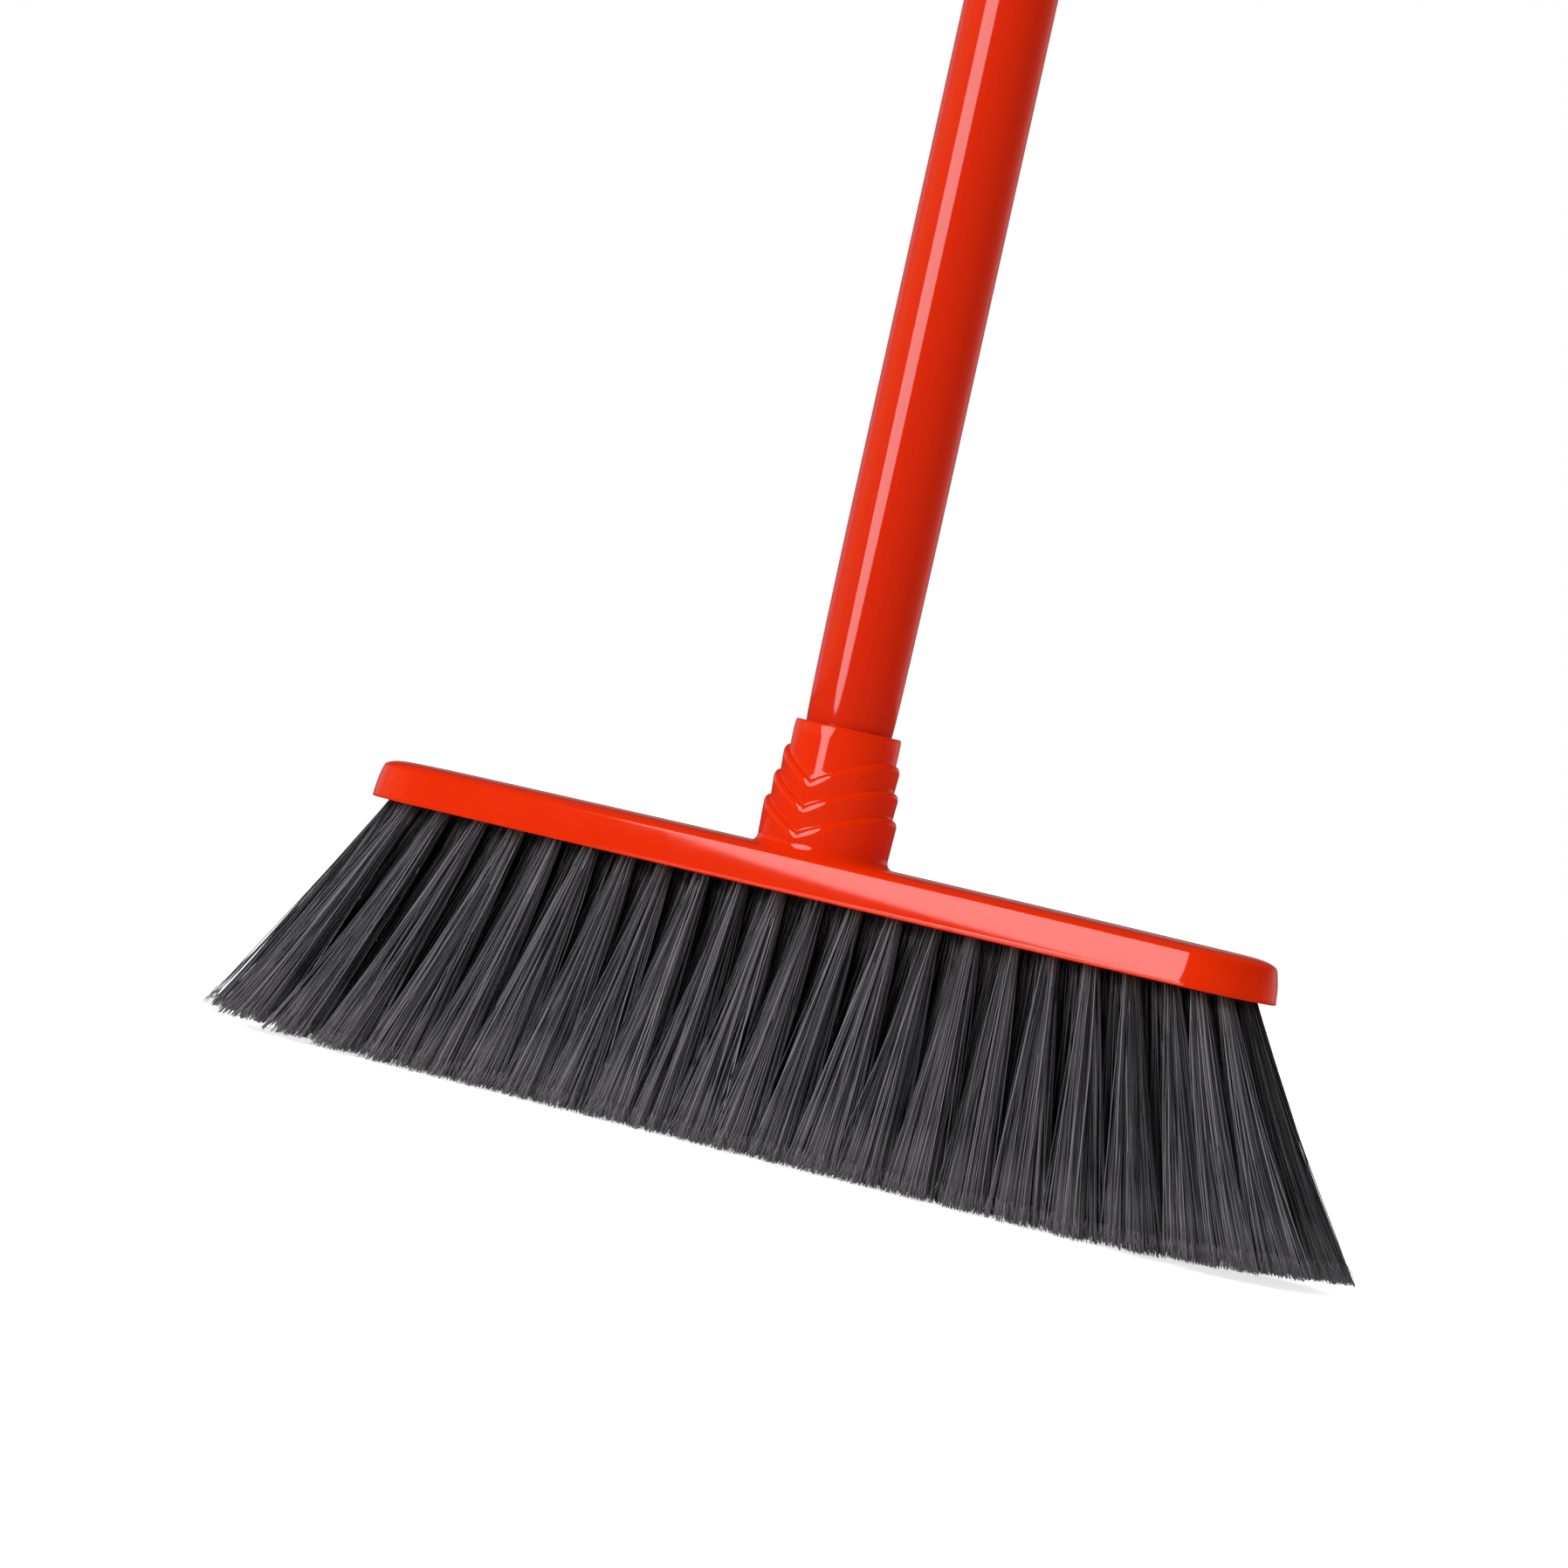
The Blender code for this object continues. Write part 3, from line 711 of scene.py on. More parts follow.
def opened(rng, place):
    """Where the tips of filaments lie in the open end of their tuft, as shares of its spread."""
    # Filaments cling in wisps, so that their tips gather a little round the wisps' middles.
    wisps = rng.normal(0, WISP_SPREAD, (WISPS, 2))
    near = place + rng.normal(0, WISP_MIXING, place.shape)
    mine = np.argmin(((near[:, None] - wisps[None]) ** 2).sum(axis=2), axis=1)
    tips = FROM_ROOT * place + FROM_WISP * wisps[mine] + rng.normal(0, FROM_CHANCE, place.shape)
    return tips / np.maximum(1, np.linalg.norm(tips, axis=1))[:, None]


def split_ends(tufts, rng, paths):
    """Centre lines and radii of the two thin fibres that split off the end of each filament."""
    count = 2 * len(paths)
    start = np.repeat((paths[:, -2] + paths[:, -1]) / 2, 2, axis=0)
    heading = np.repeat(paths[:, -1] - paths[:, -2], 2, axis=0)
    heading /= np.linalg.norm(heading, axis=1)[:, None]
    reach = tufts.flag * rng.uniform(FLAG_LEAST, 1.0, (count, 1))
    stray = rng.normal(0, FLAG_STRAY, (count, 3)) * FLAG_STRAY_WAYS
    share = FLAG_ALONG[None, :, None]
    flags = start[:, None] + heading[:, None] * reach[:, None] * share * FLAG_LENGTH
    flags += stray[:, None] * share**FLAG_BEND
    flags[:, :, 2] = np.maximum(flags[:, :, 2], FLAG_HEIGHT)
    return flags, np.tile(tufts.diameter * FLAG_RADII, (count, 1))


def tuft_paths(tufts, rng, x, y):
    """Centre lines, radii and painted shade number of a tuft's filaments and split ends: 1 where
    shade is painted into their greys.
    """
    count = tufts.strands
    core = is_core(tufts, x, y)
    right_end = x > STRAIGHT_HALF
    # Inner tufts, and those behind the right end's corner, get painted shade: the darker greys of the
    # second finish.
    painted_shade = int(core or (right_end and y > PAINTED_SHADE_FROM))
    turn = rng.uniform(0, 2 * math.pi, count)
    far = np.sqrt(rng.uniform(0, 1, count))
    place = np.stack([far * np.cos(turn), far * np.sin(turn)], axis=1)
    hole = (tufts.core_hole if core else tufts.hole_radius) - HOLE_ROOM
    root = np.array([x, y]) + place * hole
    tip = tuft_tip(tufts, x, y)
    open_out = opened(rng, place)
    if right_end:
        outward = np.array([x - STRAIGHT_HALF, y]) / math.hypot(x - STRAIGHT_HALF, y)
        beyond = np.maximum(0, open_out @ outward - RIGHT_REACH)[:, None]
        open_out -= RIGHT_DRAW * beyond * outward
    end = tip[:2] + open_out * (tufts.core_spread if core else tufts.spread)
    end_z = tip[2] + TIP_HEIGHT + np.abs(rng.normal(0, TRIM, count))
    bow = (RIGHT_BOW if right_end else BOW) + rng.normal(0, BOW_RANGE, count)
    grow = ALONG + bow[:, None] * (ALONG**2 - ALONG)
    paths = np.empty((count, len(ALONG), 3))
    paths[:, :, :2] = root[:, None] + (end - root)[:, None] * grow[:, :, None]
    sway = rng.normal(0, SWAY, (count, 1, 2)) * np.sin(ALONG * math.pi * SWAY_WAVES)[None, :, None]
    paths[:, 1:, :2] += sway[:, 1:]
    paths[:, :, 2] = HEAD_LOW.z + (end_z - HEAD_LOW.z)[:, None] * ALONG
    radii = np.full((count, len(ALONG)), tufts.diameter / 2) * rng.uniform(THIN, THICK, (count, 1))
    radii[:, -1] *= TIP_SHARE
    return (paths, radii, painted_shade), (*split_ends(tufts, rng, paths), painted_shade)


# Sides of a filament, and the empty margin and used span of its square cell in the map.
STRAND_SIDES = 3
CELL_MARGIN, CELL_SPAN = 0.1, 0.8
# Size of the ends of a filament in its cell, and the places of the root's and the tip's.
CELL_END = 0.03
CELL_ENDS = np.array([[[0.5, 0.05]], [[0.5, 0.95]]])


def strand_faces(count, steps):
    """Corners and sizes of the faces of equal tubes: all their walls, and then their two ends."""
    sides = STRAND_SIDES
    tube = np.arange(count)[:, None, None] * (steps * sides)
    row = np.arange(steps - 1)[None, :, None] * sides
    side = np.arange(sides)[None, None]
    near, far = tube + row + side, tube + row + (side + 1) % sides
    walls = np.stack([near, near + sides, far + sides, far], axis=3)
    root = (tube + side)[:, 0]
    tip = root[:, ::-1] + (steps - 1) * sides
    corners = np.concatenate([walls.ravel(), np.stack([root, tip], axis=1).ravel()])
    return corners, np.repeat([4, sides], [count * (steps - 1) * sides, count * 2])


def strand_map(cells, grid, steps):
    """Places in the map for those corners, each tube in its own cell of a square grid."""
    sides = STRAND_SIDES
    column, row = cells % grid, cells // grid
    left = column[:, None, None] + CELL_MARGIN + CELL_SPAN * np.arange(sides)[None, None] / sides
    low = row[:, None, None] + CELL_MARGIN
    low = low + CELL_SPAN * np.arange(steps - 1)[None, :, None] / (steps - 1)
    right, high = left + CELL_SPAN / sides, low + CELL_SPAN / (steps - 1)
    shape = (len(cells), steps - 1, sides)
    u = np.stack([np.broadcast_to(a, shape) for a in (left, left, right, right)], axis=3)
    v = np.stack([np.broadcast_to(a, shape) for a in (low, high, high, low)], axis=3)
    walls = np.stack([u, v], axis=4)
    ends = CELL_END * ring(1, 1, 0, sides)[:, :2] + CELL_ENDS
    ends = ends + np.stack([column, row], axis=1)[:, None, None]
    return np.concatenate([walls.reshape(-1, 2), ends.reshape(-1, 2)]) / grid


def strand_mesh(name, bundles):
    """A mesh of thin closed tubes, each with its own cell in the map, and every face's painted shade
    number.
    """
    sides = STRAND_SIDES
    grid = math.ceil(math.sqrt(sum(len(paths) for paths, radii, painted_shade in bundles)))
    around = ring(1, 1, 0, sides)
    points, corners, sizes, places, painted_shades = [], [], [], [], []
    first, cell = 0, 0
    for paths, radii, painted_shade in bundles:
        count, steps = radii.shape
        points.append((paths[:, :, None] + radii[:, :, None, None] * around).reshape(-1, 3))
        face_corners, face_sizes = strand_faces(count, steps)
        corners.append(first + face_corners)
        sizes.append(face_sizes)
        places.append(strand_map(cell + np.arange(count), grid, steps))
        painted_shades.append(np.full(len(face_sizes), painted_shade))
        first += count * steps * sides
        cell += count
    points, corners, sizes = np.concatenate(points), np.concatenate(corners), np.concatenate(sizes)
    places = np.concatenate(places)
    mesh = bpy.data.meshes.new(name)
    mesh.vertices.add(len(points))
    mesh.vertices.foreach_set("co", points.ravel().astype(np.float32))
    mesh.loops.add(len(corners))
    mesh.loops.foreach_set("vertex_index", corners.astype(np.int32))
    mesh.polygons.add(len(sizes))
    mesh.polygons.foreach_set("loop_start", (np.cumsum(sizes) - sizes).astype(np.int32))
    mesh.uv_layers.new(name="OFBake").data.foreach_set("uv", places.ravel().astype(np.float32))
    mesh.update(calc_edges=True)
    if mesh.validate():
        raise RuntimeError(f"{name} has faulty faces")
    return mesh, np.concatenate(painted_shades)


# Half of the underside plate's thickness, the height of its middle, and its overlap with the wall.
PLATE_HALF, PLATE_MIDDLE, PLATE_OVERLAP = 0.0014, 0.0016, 0.00002
# Points round a tuft's hole in the plate.
HOLE_POINTS = 20


def underside_plate(head, tufts, material):
    """The head's underside with a round hole for every tuft, set in the block's recess."""
    curve = bpy.data.curves.new("underside_plate", "CURVE")
    curve.dimensions = "2D"
    curve.fill_mode = "BOTH"
    curve.extrude = PLATE_HALF
    spine = outline(*PLATE_POINTS)
    reach = END_RADIUS - head.wall + PLATE_OVERLAP
    rims = [np.stack([spine[:, 0] + spine[:, 1] * reach, spine[:, 2] * reach], axis=1)]
    hole = ring(1, 1, 0, HOLE_POINTS)[::-1, :2]
    for roots in tuft_roots(tufts).values():
        for root in roots:
            radius = tufts.core_hole if is_core(tufts, *root) else tufts.hole_radius
            rims.append(hole * radius + root)
    for rim in rims:
        spline = curve.splines.new("POLY")
        spline.points.add(len(rim) - 1)
        spline.points.foreach_set("co", np.pad(rim, ((0, 0), (0, 2))).ravel())
        spline.use_cyclic_u = True
    flat = bpy.data.objects.new("underside_plate_curve", curve)
    flat.location.z = HEAD_LOW.z + PLATE_MIDDLE
    bpy.context.scene.collection.objects.link(flat)
    graph = bpy.context.evaluated_depsgraph_get()
    mesh = bpy.data.meshes.new_from_object(flat.evaluated_get(graph))
    mesh.transform(flat.matrix_world)
    bpy.data.objects.remove(flat)
    piece = show("underside_plate", mesh, material)
    mesh.shade_flat()
    return piece


class BROOM_OT_head(bpy.types.Operator):
    """Moulds the red head block with its stepped socket"""

    bl_idname = "broom.head"
    bl_label = "Head"

    def execute(self, context):
        head = context.scene.broom_head
        colours = context.scene.broom_colours
        red = moulded_polypropylene(
            "polypropylene_red_moulded", (colours.head, colours.head_deep),
            roughness=(0.05, 0.08), peel=0.03,
        )
        piece = loft("moulded_head", block_rings(head), red)
        combine(piece, loft("socket", socket_rings(head, SOCKET_POINTS), red), "UNION")
        settle(piece, "head", "head", "head_block")
        plate = underside_plate(head, context.scene.broom_tufts, red)
        settle(plate, "head", "head")
        return {"FINISHED"}


class BROOM_OT_filaments(bpy.types.Operator):
    """Grows the flagged filaments of every tuft"""

    bl_idname = "broom.filaments"
    bl_label = "Filaments"

    def execute(self, context):
        tufts = context.scene.broom_tufts
        colours = context.scene.broom_colours
        # The second finish is the same filament with painted shade in its greys.
        greys = [
            flagged_filament("polyester_filament_flagged", colours, 1.0),
            flagged_filament("polyester_filament_flagged_painted_shade", colours, colours.core),
        ]
        rng = np.random.default_rng(SEED)
        for node, roots in tuft_roots(tufts).items():
            bundles = [bundle for root in roots for bundle in tuft_paths(tufts, rng, *root)]
            name = node.replace("tuft_", "filaments_")
            mesh, painted_shades = strand_mesh(name, bundles)
            piece = show(name, mesh, *greys)
            # Faces marked with painted shade take the second finish.
            mesh.polygons.foreach_set("material_index", painted_shades.astype(np.int32))
            settle(piece, "head", "filament", node)
        return {"FINISHED"}


# Points in each ring of the tube, and the shape of its taper and of the nip at its end.
TUBE_POINTS = 128
TAPER_CURVE, NIP_CURVE = 1.7, 14
# Rings of the tube where it tapers and where it is straight, and how near they come to its ends.
TAPER_RINGS, STRAIGHT_RINGS = 72, 24
STRAIGHT_CLEAR, END_CLEAR = 0.02, 0.002
# Inset of the middle of a cut edge's round, as a share of the round.
EDGE_MIDDLE = 0.3


def tube_shrink(handle, height):
    """How much narrower the tube is near the socket, where its end is drawn in over the plug."""
    share = np.clip((RIM + handle.taper_height - height) / handle.taper_height, 0, 1)
    return handle.taper * share**TAPER_CURVE + handle.nip * share**NIP_CURVE


class BROOM_OT_tube(bpy.types.Operator):
    """Draws the coated handle tube"""

    bl_idname = "broom.tube"
    bl_label = "Handle tube"

    def execute(self, context):
        handle = context.scene.broom_handle
        wall, edge = handle.wall, handle.wall / 2
        low, high = TUBE_LOW.z, TUBE_HIGH.z
        full = RIM + handle.taper_height
        heights = [low + edge, low + END_CLEAR]
        heights += [*np.linspace(RIM - END_CLEAR, full, TAPER_RINGS)]
        heights += [*np.linspace(full + STRAIGHT_CLEAR, high - STRAIGHT_CLEAR, STRAIGHT_RINGS)]
        heights += [high - END_CLEAR, high - edge]
        outside = [(TUBE_HIGH.x - tube_shrink(handle, z), z) for z in heights]
        foot, radius, middle = outside[0][0], TUBE_HIGH.x, edge * EDGE_MIDDLE
        path = [(foot - edge, low), (foot - middle, low + middle), *outside]
        path += [(radius - middle, high - middle), (radius - edge, high)]
        path += [(r - wall, z) for r, z in reversed(outside)]
        rings = [ring(r, r, z, TUBE_POINTS) for r, z in path]
        coat = coated_tube_finish(context.scene.broom_colours)
        piece = loft("coated_tube", rings, coat, closed=True)
        settle(piece, "handle", "tube", "handle_tube")
        return {"FINISHED"}


# Points in each ring of the plug, and the heights of its collar and of its thread's chamfered tip.
PLUG_POINTS = 120
PLUG_COLLAR, PLUG_TIP = 0.0023, 0.0016
# Height between the thread's rings, and their room above the tip and below the collar.
THREAD_ROW, THREAD_ABOVE, THREAD_BELOW = 0.00025, 0.0003, 0.0002
# Where a flank ends and its width, as shares of half a pitch from the middle of the crest.
FLANK_END, FLANK = 0.62, 0.24
# Heights over which the thread runs in at the tip and out at the collar.
RUN_IN, RUN_OUT = 0.003, 0.002
# Chamfers of the collar's lower and upper edges, and of a plug's end inside the tube.
COLLAR_LOWER, COLLAR_UPPER, PLUG_CHAMFER = 0.0004, 0.0003, 0.001


def thread_rings(handle, root, collar):
    """Rings of a trapezoid thread: flat crest and root, leaning flanks, run out at both ends."""
    low, count = PLUG_LOW.z, PLUG_POINTS
    turn = np.arange(count) / count
    rings = [ring(root - PLUG_TIP, root - PLUG_TIP, low, count)]
    for height in np.arange(low + THREAD_ABOVE, collar - THREAD_BELOW, THREAD_ROW):
        phase = np.abs(((height - low) / handle.thread_pitch - turn) % 1 - 0.5) * 2
        shape = np.clip((FLANK_END - phase) / FLANK, 0, 1)
        fade = min(1.0, (height - low) / RUN_IN, (collar - height) / RUN_OUT)
        chamfer = min(0.0, (height - low) - PLUG_TIP)
        radius = root + chamfer + handle.thread_depth * shape * fade
        points = ring(1, 1, height, count)
        points[:, :2] *= radius[:, None]
        rings.append(points)
    return rings


class BROOM_OT_plug(bpy.types.Operator):
    """Moulds the threaded plug in the tube's lower end"""

    bl_idname = "broom.plug"
    bl_label = "Threaded plug"

    def execute(self, context):
        handle = context.scene.broom_handle
        colours = context.scene.broom_colours
        root = THREAD_CREST - handle.thread_depth
        wide = TUBE_HIGH.x
        inner = wide - handle.taper - handle.nip - handle.wall - GAP
        collar, top, end = TUBE_LOW.z - PLUG_COLLAR, TUBE_LOW.z - GAP, PLUG_HIGH.z
        path = [(root, collar), (wide - COLLAR_LOWER, collar), (wide, collar + COLLAR_LOWER)]
        path += [(wide, top - COLLAR_UPPER), (wide - COLLAR_UPPER, top), (inner, top)]
        path += [(inner, end - PLUG_CHAMFER), (inner - PLUG_CHAMFER, end)]
        rings = thread_rings(handle, root, collar)
        rings += [ring(r, r, z, PLUG_POINTS) for r, z in path]
        grey = moulded_polypropylene(
            "polypropylene_grey_moulded", (colours.plug, colours.plug_deep),
            roughness=(0.35, 0.5), peel=0.2,
        )
        settle(loft("threaded_plug", rings, grey), "handle_ends", "thread", "thread_tip")
        return {"FINISHED"}


# Points in each ring of the cap and of the bar that cuts its eye, and rings of the dome and bar.
CAP_POINTS, EYE_POINTS, DOME_ROWS, EYE_ROWS = 128, 64, 44, 33
# Inset and height along the round of the collar's lower edge, and the round of its upper edge.
COLLAR_ROUND = ((0.0005, 0.0), (0.00012, 0.00012), (0.0, 0.0005))
COLLAR_TOP = 0.0012
# Where the dome's arc starts and ends, and how full it is: below 1 is fuller than a circle.
DOME_START, DOME_END, DOME_CURVE = 0.02, QUARTER - 0.03, 0.85
# Height over which the dome closes in to the flat eye, and half the thickness that it starts from
# as a share of the collar's radius.
EYE_RISE, EYE_START = 0.0055, 1.6
# How sharp the edge between the dome and the eye's flats is.
EYE_EDGE = 9
# Keeps the dome's depth above zero where it meets the X axis.
TINY = 1e-9
# Round on the rims of the eye's hole, and how far the bar that cuts it sticks out.
EYE_ROUND, EYE_CLEAR = 0.001, 0.0001


class BROOM_OT_cap(bpy.types.Operator):
    """Moulds the hanging cap on the tube's upper end"""

    bl_idname = "broom.cap"
    bl_label = "Hanging cap"

    def execute(self, context):
        handle = context.scene.broom_handle
        colours = context.scene.broom_colours
        inner = TUBE_HIGH.x - handle.wall - GAP
        collar, base = CAP_HIGH.x, TUBE_HIGH.z + GAP
        shoulder = base + handle.collar_height
        path = [(inner - PLUG_CHAMFER, CAP_LOW.z), (inner, CAP_LOW.z + PLUG_CHAMFER), (inner, base)]
        path += [(collar - inset, base + height) for inset, height in COLLAR_ROUND]
        path.append((collar, shoulder - COLLAR_TOP))
        rings = [ring(r, r, z, CAP_POINTS) for r, z in path]
        dome, wide = CAP_HIGH.z - shoulder, collar * EYE_START
        for turn in np.linspace(DOME_START, DOME_END, DOME_ROWS):
            height = dome * math.sin(turn)
            radius = collar * math.cos(turn) ** DOME_CURVE
            closing = min(1.0, height / EYE_RISE)
            closing = closing * closing * (3 - 2 * closing)
            half = wide + (handle.eye_thickness / 2 - wide) * closing
            points = ring(radius, radius, shoulder + height, CAP_POINTS)
            deep = np.abs(points[:, 1]) + TINY
            flat = (deep**-EYE_EDGE + half**-EYE_EDGE) ** (-1 / EYE_EDGE)
            points[:, 1] = np.sign(points[:, 1]) * flat
            rings.append(points)
        red = moulded_polypropylene(
            "polypropylene_red_cap", (colours.cap, colours.head_deep),
            roughness=(0.2, 0.3), peel=0.12,
        )
        piece = loft("hanging_cap", rings, red)
        combine(piece, self.eye_cutter(handle, red), "DIFFERENCE")
        settle(piece, "handle_ends", "cap", "hanger_cap")
        return {"FINISHED"}

    def eye_cutter(self, handle, material):
        """A waisted round bar along Y that leaves a hole with rounded rims."""
        radius, half = handle.eye_hole / 2, handle.eye_thickness / 2
        rings = []
        for y in np.linspace(half + EYE_CLEAR, -half - EYE_CLEAR, EYE_ROWS):
            past = min(1.0, max(0.0, abs(y) - (half - EYE_ROUND)) / EYE_ROUND)
            wide = radius + EYE_ROUND * (1 - math.sqrt(1 - past * past))
            x, z, flat = ring(wide, wide, 0, EYE_POINTS).T
            rings.append(np.stack([x, flat + y, z + CAP_HIGH.z - handle.eye_drop], axis=1))
        return loft("eye_cutter", rings, material)


# The point that the lights face.
LIT_POINT = Vector((0.0, 0.0, 0.08))
# Half the floor's length, and how much it glows to the camera and in gloss.
FLOOR_HALF, FLOOR_GLOW, FLOOR_IN_GLOSS = 9.0, 0.75, 0.06
# Directions from the camera through the head and on, and to the camera's left.
BEHIND, LEFTWARD = (-0.49, 0.872, 0.0), (-0.872, -0.49, 0.0)
# Brightness of the walls in gloss, from those at the camera's back (0) to those behind the head (1).
WALLS = ((0.0, 0.04), (0.45, 0.04), (0.6, 0.1), (0.77, 0.24), (0.9, 0.42), (0.955, 0.2))
# Cosines of the angles from the screen's middle to where it fades out and is full, and its level.
SCREEN_EDGE, SCREEN_FULL, SCREEN_LEVEL = 0.87, 0.95, 0.27
# Sines of the elevations between which the walls fade, and the share of their light that stays.
FADE_START, FADE_END, FADE_REST = 0.1, 0.35, 0.12
# The camera's angles in degrees, the point it faces and its distance from there.
CAMERA_YAW, CAMERA_PITCH, CAMERA_ROLL = 29.34, 0.57, 12.53
CAMERA_AIM, CAMERA_DISTANCE = Vector((-0.016, 0.0, 0.0988)), 2.155
# Its lens and sensor in millimetres, and how far it sees.
CAMERA_LENS, CAMERA_SENSOR, CAMERA_FAR = 182.28, 36.0, 100.0


class BROOM_OT_stage(bpy.types.Operator):
    """Sets the floor, the lights, the even fill and the camera"""

    bl_idname = "broom.stage"
    bl_label = "Studio"

    def execute(self, context):
        studio = context.scene.broom_studio
        context.scene.view_settings.view_transform = "Standard"
        self.floor(context)
        self.lamp(studio, "softbox", studio.azimuth, studio.elevation, studio.strength)
        # The top and rear lights even the colour over the top and back, and show in no gloss.
        top = self.lamp(
            studio, "top_light", studio.top_azimuth, studio.top_elevation, studio.top_strength
        )
        rear = self.lamp(
            studio, "rear_light", studio.rear_azimuth, studio.rear_elevation, studio.rear_strength
        )
        top.visible_glossy = rear.visible_glossy = False
        self.surroundings(context, studio)
        self.camera(context)
        return {"FINISHED"}

    def floor(self, context):
        """White seamless paper that keeps a soft shadow and shows only dimly in gloss."""
        material, tree, out = new_material("seamless_paper_white")
        white = rgba(context.scene.broom_colours.floor)
        paper = add(tree, "ShaderNodeBsdfDiffuse", {"Color": white}).outputs[0]
        path = add(tree, "ShaderNodeLightPath").outputs
        glow = add(tree, "ShaderNodeEmission", {"Strength": FLOOR_GLOW}).outputs[0]
        dark = add(tree, "ShaderNodeEmission", {"Strength": 0.0}).outputs[0]
        lift = add(tree, "ShaderNodeMixShader", {0: path["Is Camera Ray"], 1: dark, 2: glow})
        both = add(tree, "ShaderNodeAddShader", {0: paper, 1: lift.outputs[0]}).outputs[0]
        dim = add(tree, "ShaderNodeEmission", {"Strength": FLOOR_IN_GLOSS}).outputs[0]
        shown = add(tree, "ShaderNodeMixShader", {0: path["Is Glossy Ray"], 1: both, 2: dim})
        tree.links.new(shown.outputs[0], out.inputs["Surface"])
        half = FLOOR_HALF
        corners = [(-half, -half, 0), (half, -half, 0), (half, half, 0), (-half, half, 0)]
        mesh = bpy.data.meshes.new("studio_floor")
        mesh.from_pydata(corners, [], [(0, 1, 2, 3)])
        show("studio_floor", mesh, material)

    def lamp(self, studio, name, azimuth, elevation, strength):
        """Round soft light that faces the head."""
        lamp = bpy.data.lights.new(name, "AREA")
        lamp.shape = "DISK"
        lamp.size = studio.diameter
        lamp.energy = strength
        flat = math.cos(elevation)
        way = Vector((-math.sin(azimuth) * flat, -math.cos(azimuth) * flat, math.sin(elevation)))
        box = bpy.data.objects.new(name, lamp)
        box.location = LIT_POINT + way * studio.distance
        box.rotation_euler = way.to_track_quat("Z", "Y").to_euler()
        box.visible_camera = False
        bpy.context.scene.collection.objects.link(box)
        return box

    def surroundings(self, context, studio):
        """White to the camera, and to the rest an even fill, which gloss sees as dim walls."""
        world = bpy.data.worlds.new("studio_fill")
        context.scene.world = world
        world.use_nodes = True
        tree = world.node_tree
        tree.nodes.clear()
        path = add(tree, "ShaderNodeLightPath").outputs
        way = add(tree, "ShaderNodeTexCoord").outputs["Generated"]
        behind = add(tree, "ShaderNodeVectorMath", {0: way, 1: BEHIND}, operation="DOT_PRODUCT")
        turn = add(
            tree, "ShaderNodeMapRange", {"Value": behind.outputs["Value"], "From Min": -1.0}
        )
        walls = add(tree, "ShaderNodeValToRGB", {"Fac": turn.outputs["Result"]})
        stops = walls.color_ramp.elements
        stops.remove(stops[1])
        stops[0].color = rgba([WALLS[0][1]] * 3)
        for place, level in WALLS[1:]:
            stops.new(place).color = rgba([level] * 3)
        # A warm, paler screen stands on the left.
        left = add(tree, "ShaderNodeVectorMath", {0: way, 1: LEFTWARD}, operation="DOT_PRODUCT")
        screen = add(
            tree, "ShaderNodeMapRange",
            {"Value": left.outputs["Value"], "From Min": SCREEN_EDGE, "From Max": SCREEN_FULL},
            interpolation_type="SMOOTHSTEP",
        ).outputs["Result"]
        seen = add(
            tree, "ShaderNodeMath", {0: screen, 1: SCREEN_LEVEL, 2: walls.outputs["Color"]},
            operation="MULTIPLY_ADD",
        ).outputs["Value"]
        cast = add(
            tree, "ShaderNodeMix",
            {"Factor": screen, MIX_A: WHITE, MIX_B: rgba(context.scene.broom_colours.screen)},
            data_type="RGBA",
        ).outputs[MIX_RESULT]
        # The pale walls reach only a little above the horizon.
        up = add(tree, "ShaderNodeSeparateXYZ", {"Vector": way}).outputs["Z"]
        band = add(
            tree, "ShaderNodeMapRange",
            {
                "Value": up, "From Min": FADE_START, "From Max": FADE_END,
                "To Min": 1.0, "To Max": FADE_REST,
            },
            interpolation_type="SMOOTHSTEP",
        ).outputs["Result"]
        room = add(tree, "ShaderNodeMath", {0: seen, 1: band}, operation="MULTIPLY").outputs["Value"]
        white = add(tree, "ShaderNodeBackground", {"Color": WHITE, "Strength": 1.0}).outputs[0]
        fill = add(tree, "ShaderNodeBackground", {"Color": WHITE, "Strength": studio.fill}).outputs[0]
        gloss = add(tree, "ShaderNodeBackground", {"Color": cast, "Strength": room}).outputs[0]
        lit = add(tree, "ShaderNodeMixShader", {0: path["Is Glossy Ray"], 1: fill, 2: gloss})
        shown = add(
            tree, "ShaderNodeMixShader", {0: path["Is Camera Ray"], 1: lit.outputs[0], 2: white}
        )
        out = add(tree, "ShaderNodeOutputWorld")
        tree.links.new(shown.outputs[0], out.inputs["Surface"])

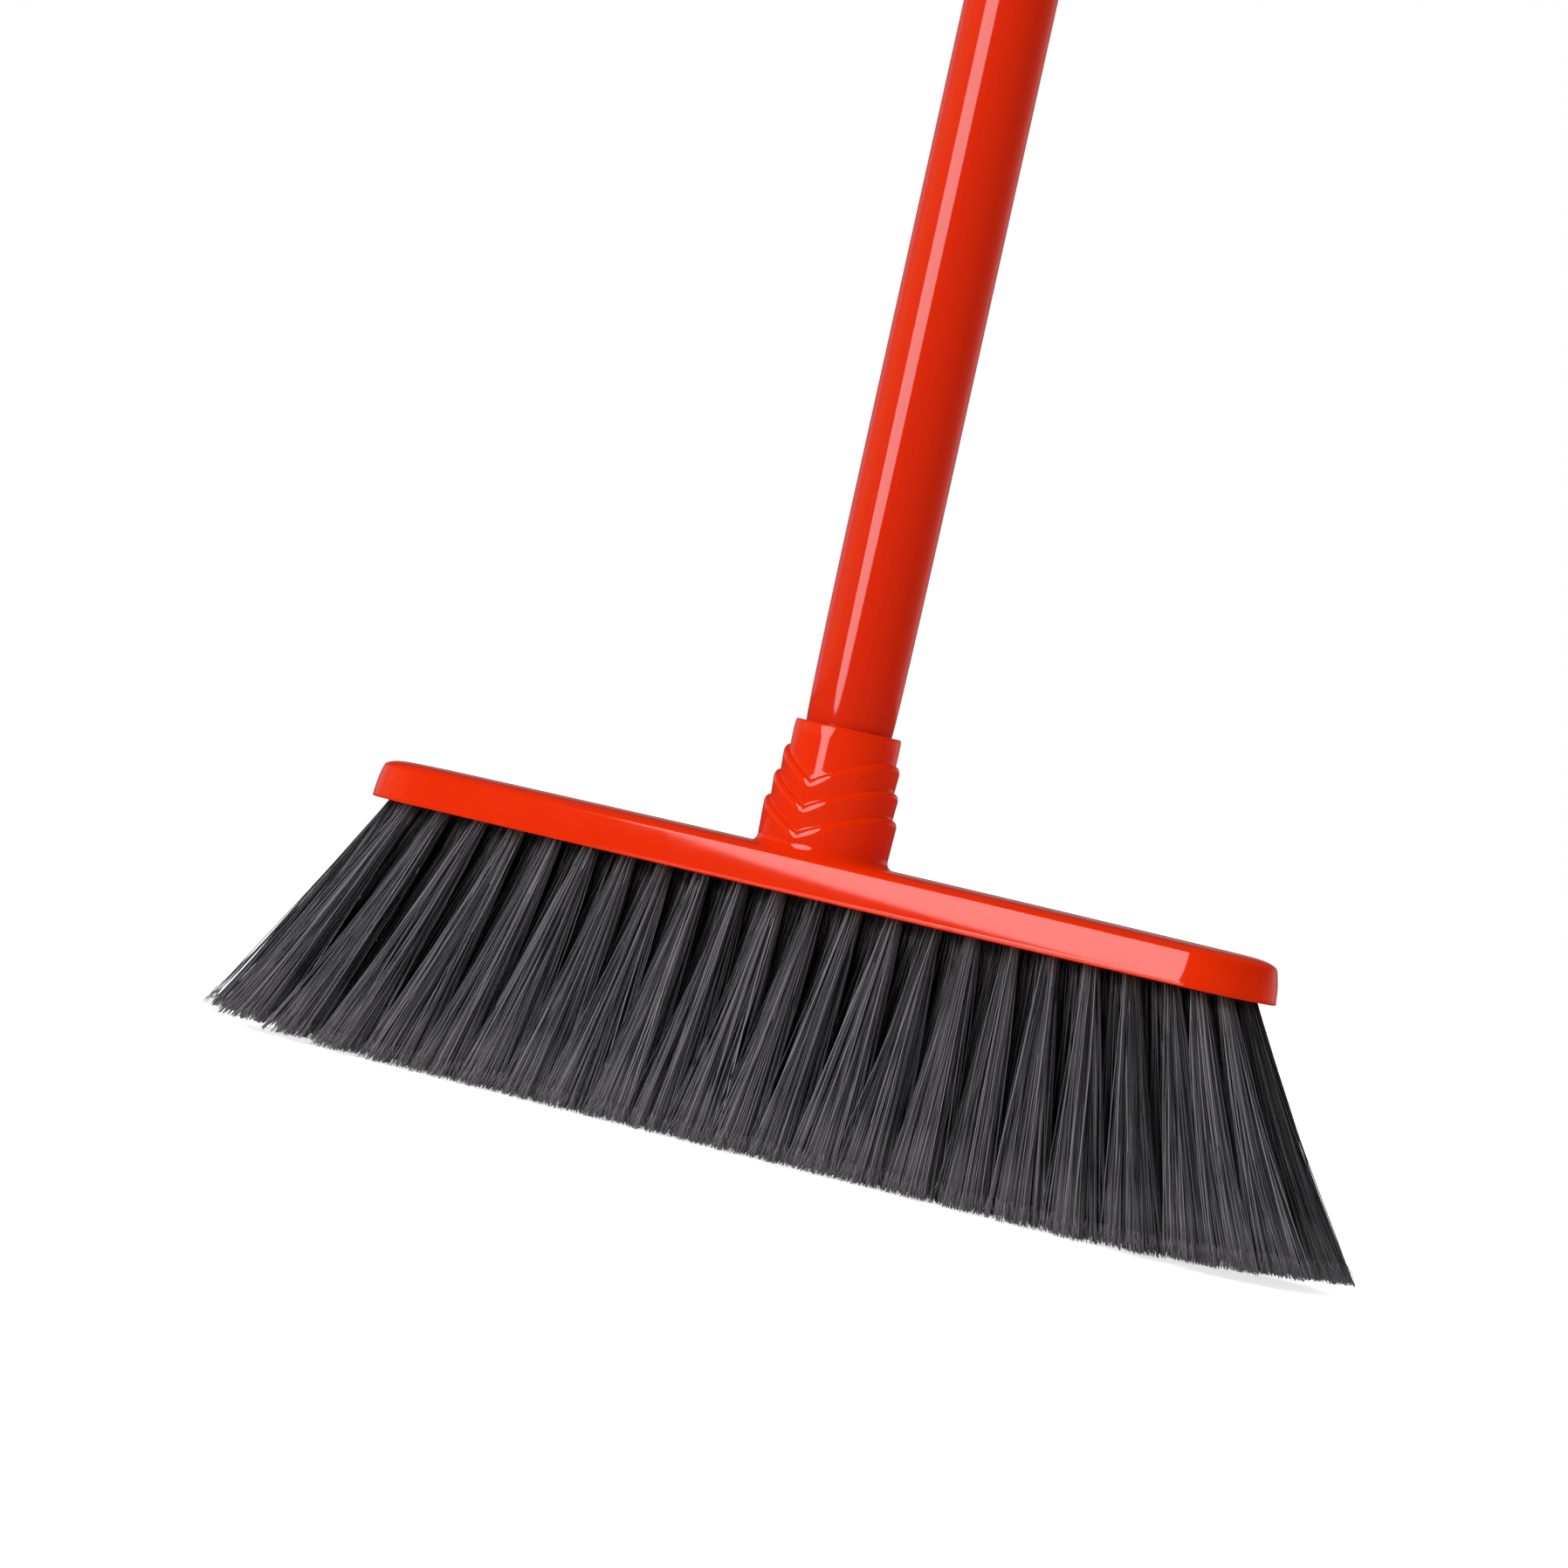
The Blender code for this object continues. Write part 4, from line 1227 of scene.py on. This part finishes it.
    def camera(self, context):
        """Long lens at the head's height, turned to its right and rolled."""
        yaw, pitch, roll = (math.radians(a) for a in (CAMERA_YAW, CAMERA_PITCH, CAMERA_ROLL))
        flat = math.cos(pitch)
        back = Vector((math.sin(yaw) * flat, -math.cos(yaw) * flat, math.sin(pitch)))
        right = Vector((math.cos(yaw), math.sin(yaw), 0))
        up = back.cross(right)
        turned_right = right * math.cos(roll) + up * math.sin(roll)
        turned_up = up * math.cos(roll) - right * math.sin(roll)
        pose = Matrix((turned_right, turned_up, back)).transposed().to_4x4()
        pose.translation = CAMERA_AIM + back * CAMERA_DISTANCE
        lens = bpy.data.cameras.new("photo_camera")
        lens.sensor_width = CAMERA_SENSOR
        lens.lens = CAMERA_LENS
        lens.clip_end = CAMERA_FAR
        camera = bpy.data.objects.new("photo_camera", lens)
        camera.matrix_world = pose
        context.scene.collection.objects.link(camera)
        context.scene.camera = camera


class BROOM_PT_panel(bpy.types.Panel):
    """Lists the broom's pieces and settings"""

    bl_label = "Indoor broom"
    bl_idname = "BROOM_PT_panel"
    bl_space_type = "VIEW_3D"
    bl_region_type = "UI"
    bl_category = "Broom"

    def draw(self, context):
        layout = self.layout
        for operator in OPERATORS:
            layout.operator(operator.bl_idname)
        for name in GROUPS:
            box = layout.box()
            group = getattr(context.scene, name)
            for prop in group.bl_rna.properties:
                if prop.identifier not in ("rna_type", "name"):
                    box.prop(group, prop.identifier)


GROUPS = {
    "broom_head": BroomHead,
    "broom_tufts": BroomTufts,
    "broom_handle": BroomHandle,
    "broom_colours": BroomColours,
    "broom_studio": BroomStudio,
}
OPERATORS = (
    BROOM_OT_stage, BROOM_OT_head, BROOM_OT_filaments, BROOM_OT_tube, BROOM_OT_plug, BROOM_OT_cap,
)


def register():
    """Registers the settings, the operators and the panel."""
    for kind in (*GROUPS.values(), *OPERATORS, BROOM_PT_panel):
        bpy.utils.register_class(kind)
    for name, kind in GROUPS.items():
        setattr(bpy.types.Scene, name, PointerProperty(type=kind))


def unregister():
    """Removes what register added."""
    for name in GROUPS:
        delattr(bpy.types.Scene, name)
    for kind in (BROOM_PT_panel, *reversed(OPERATORS), *reversed(GROUPS.values())):
        bpy.utils.unregister_class(kind)


def main():
    """Builds the stage and every piece."""
    register()
    for operator in OPERATORS:
        group, name = operator.bl_idname.split(".")
        getattr(getattr(bpy.ops, group), name)()


if __name__ == "__main__":
    main()
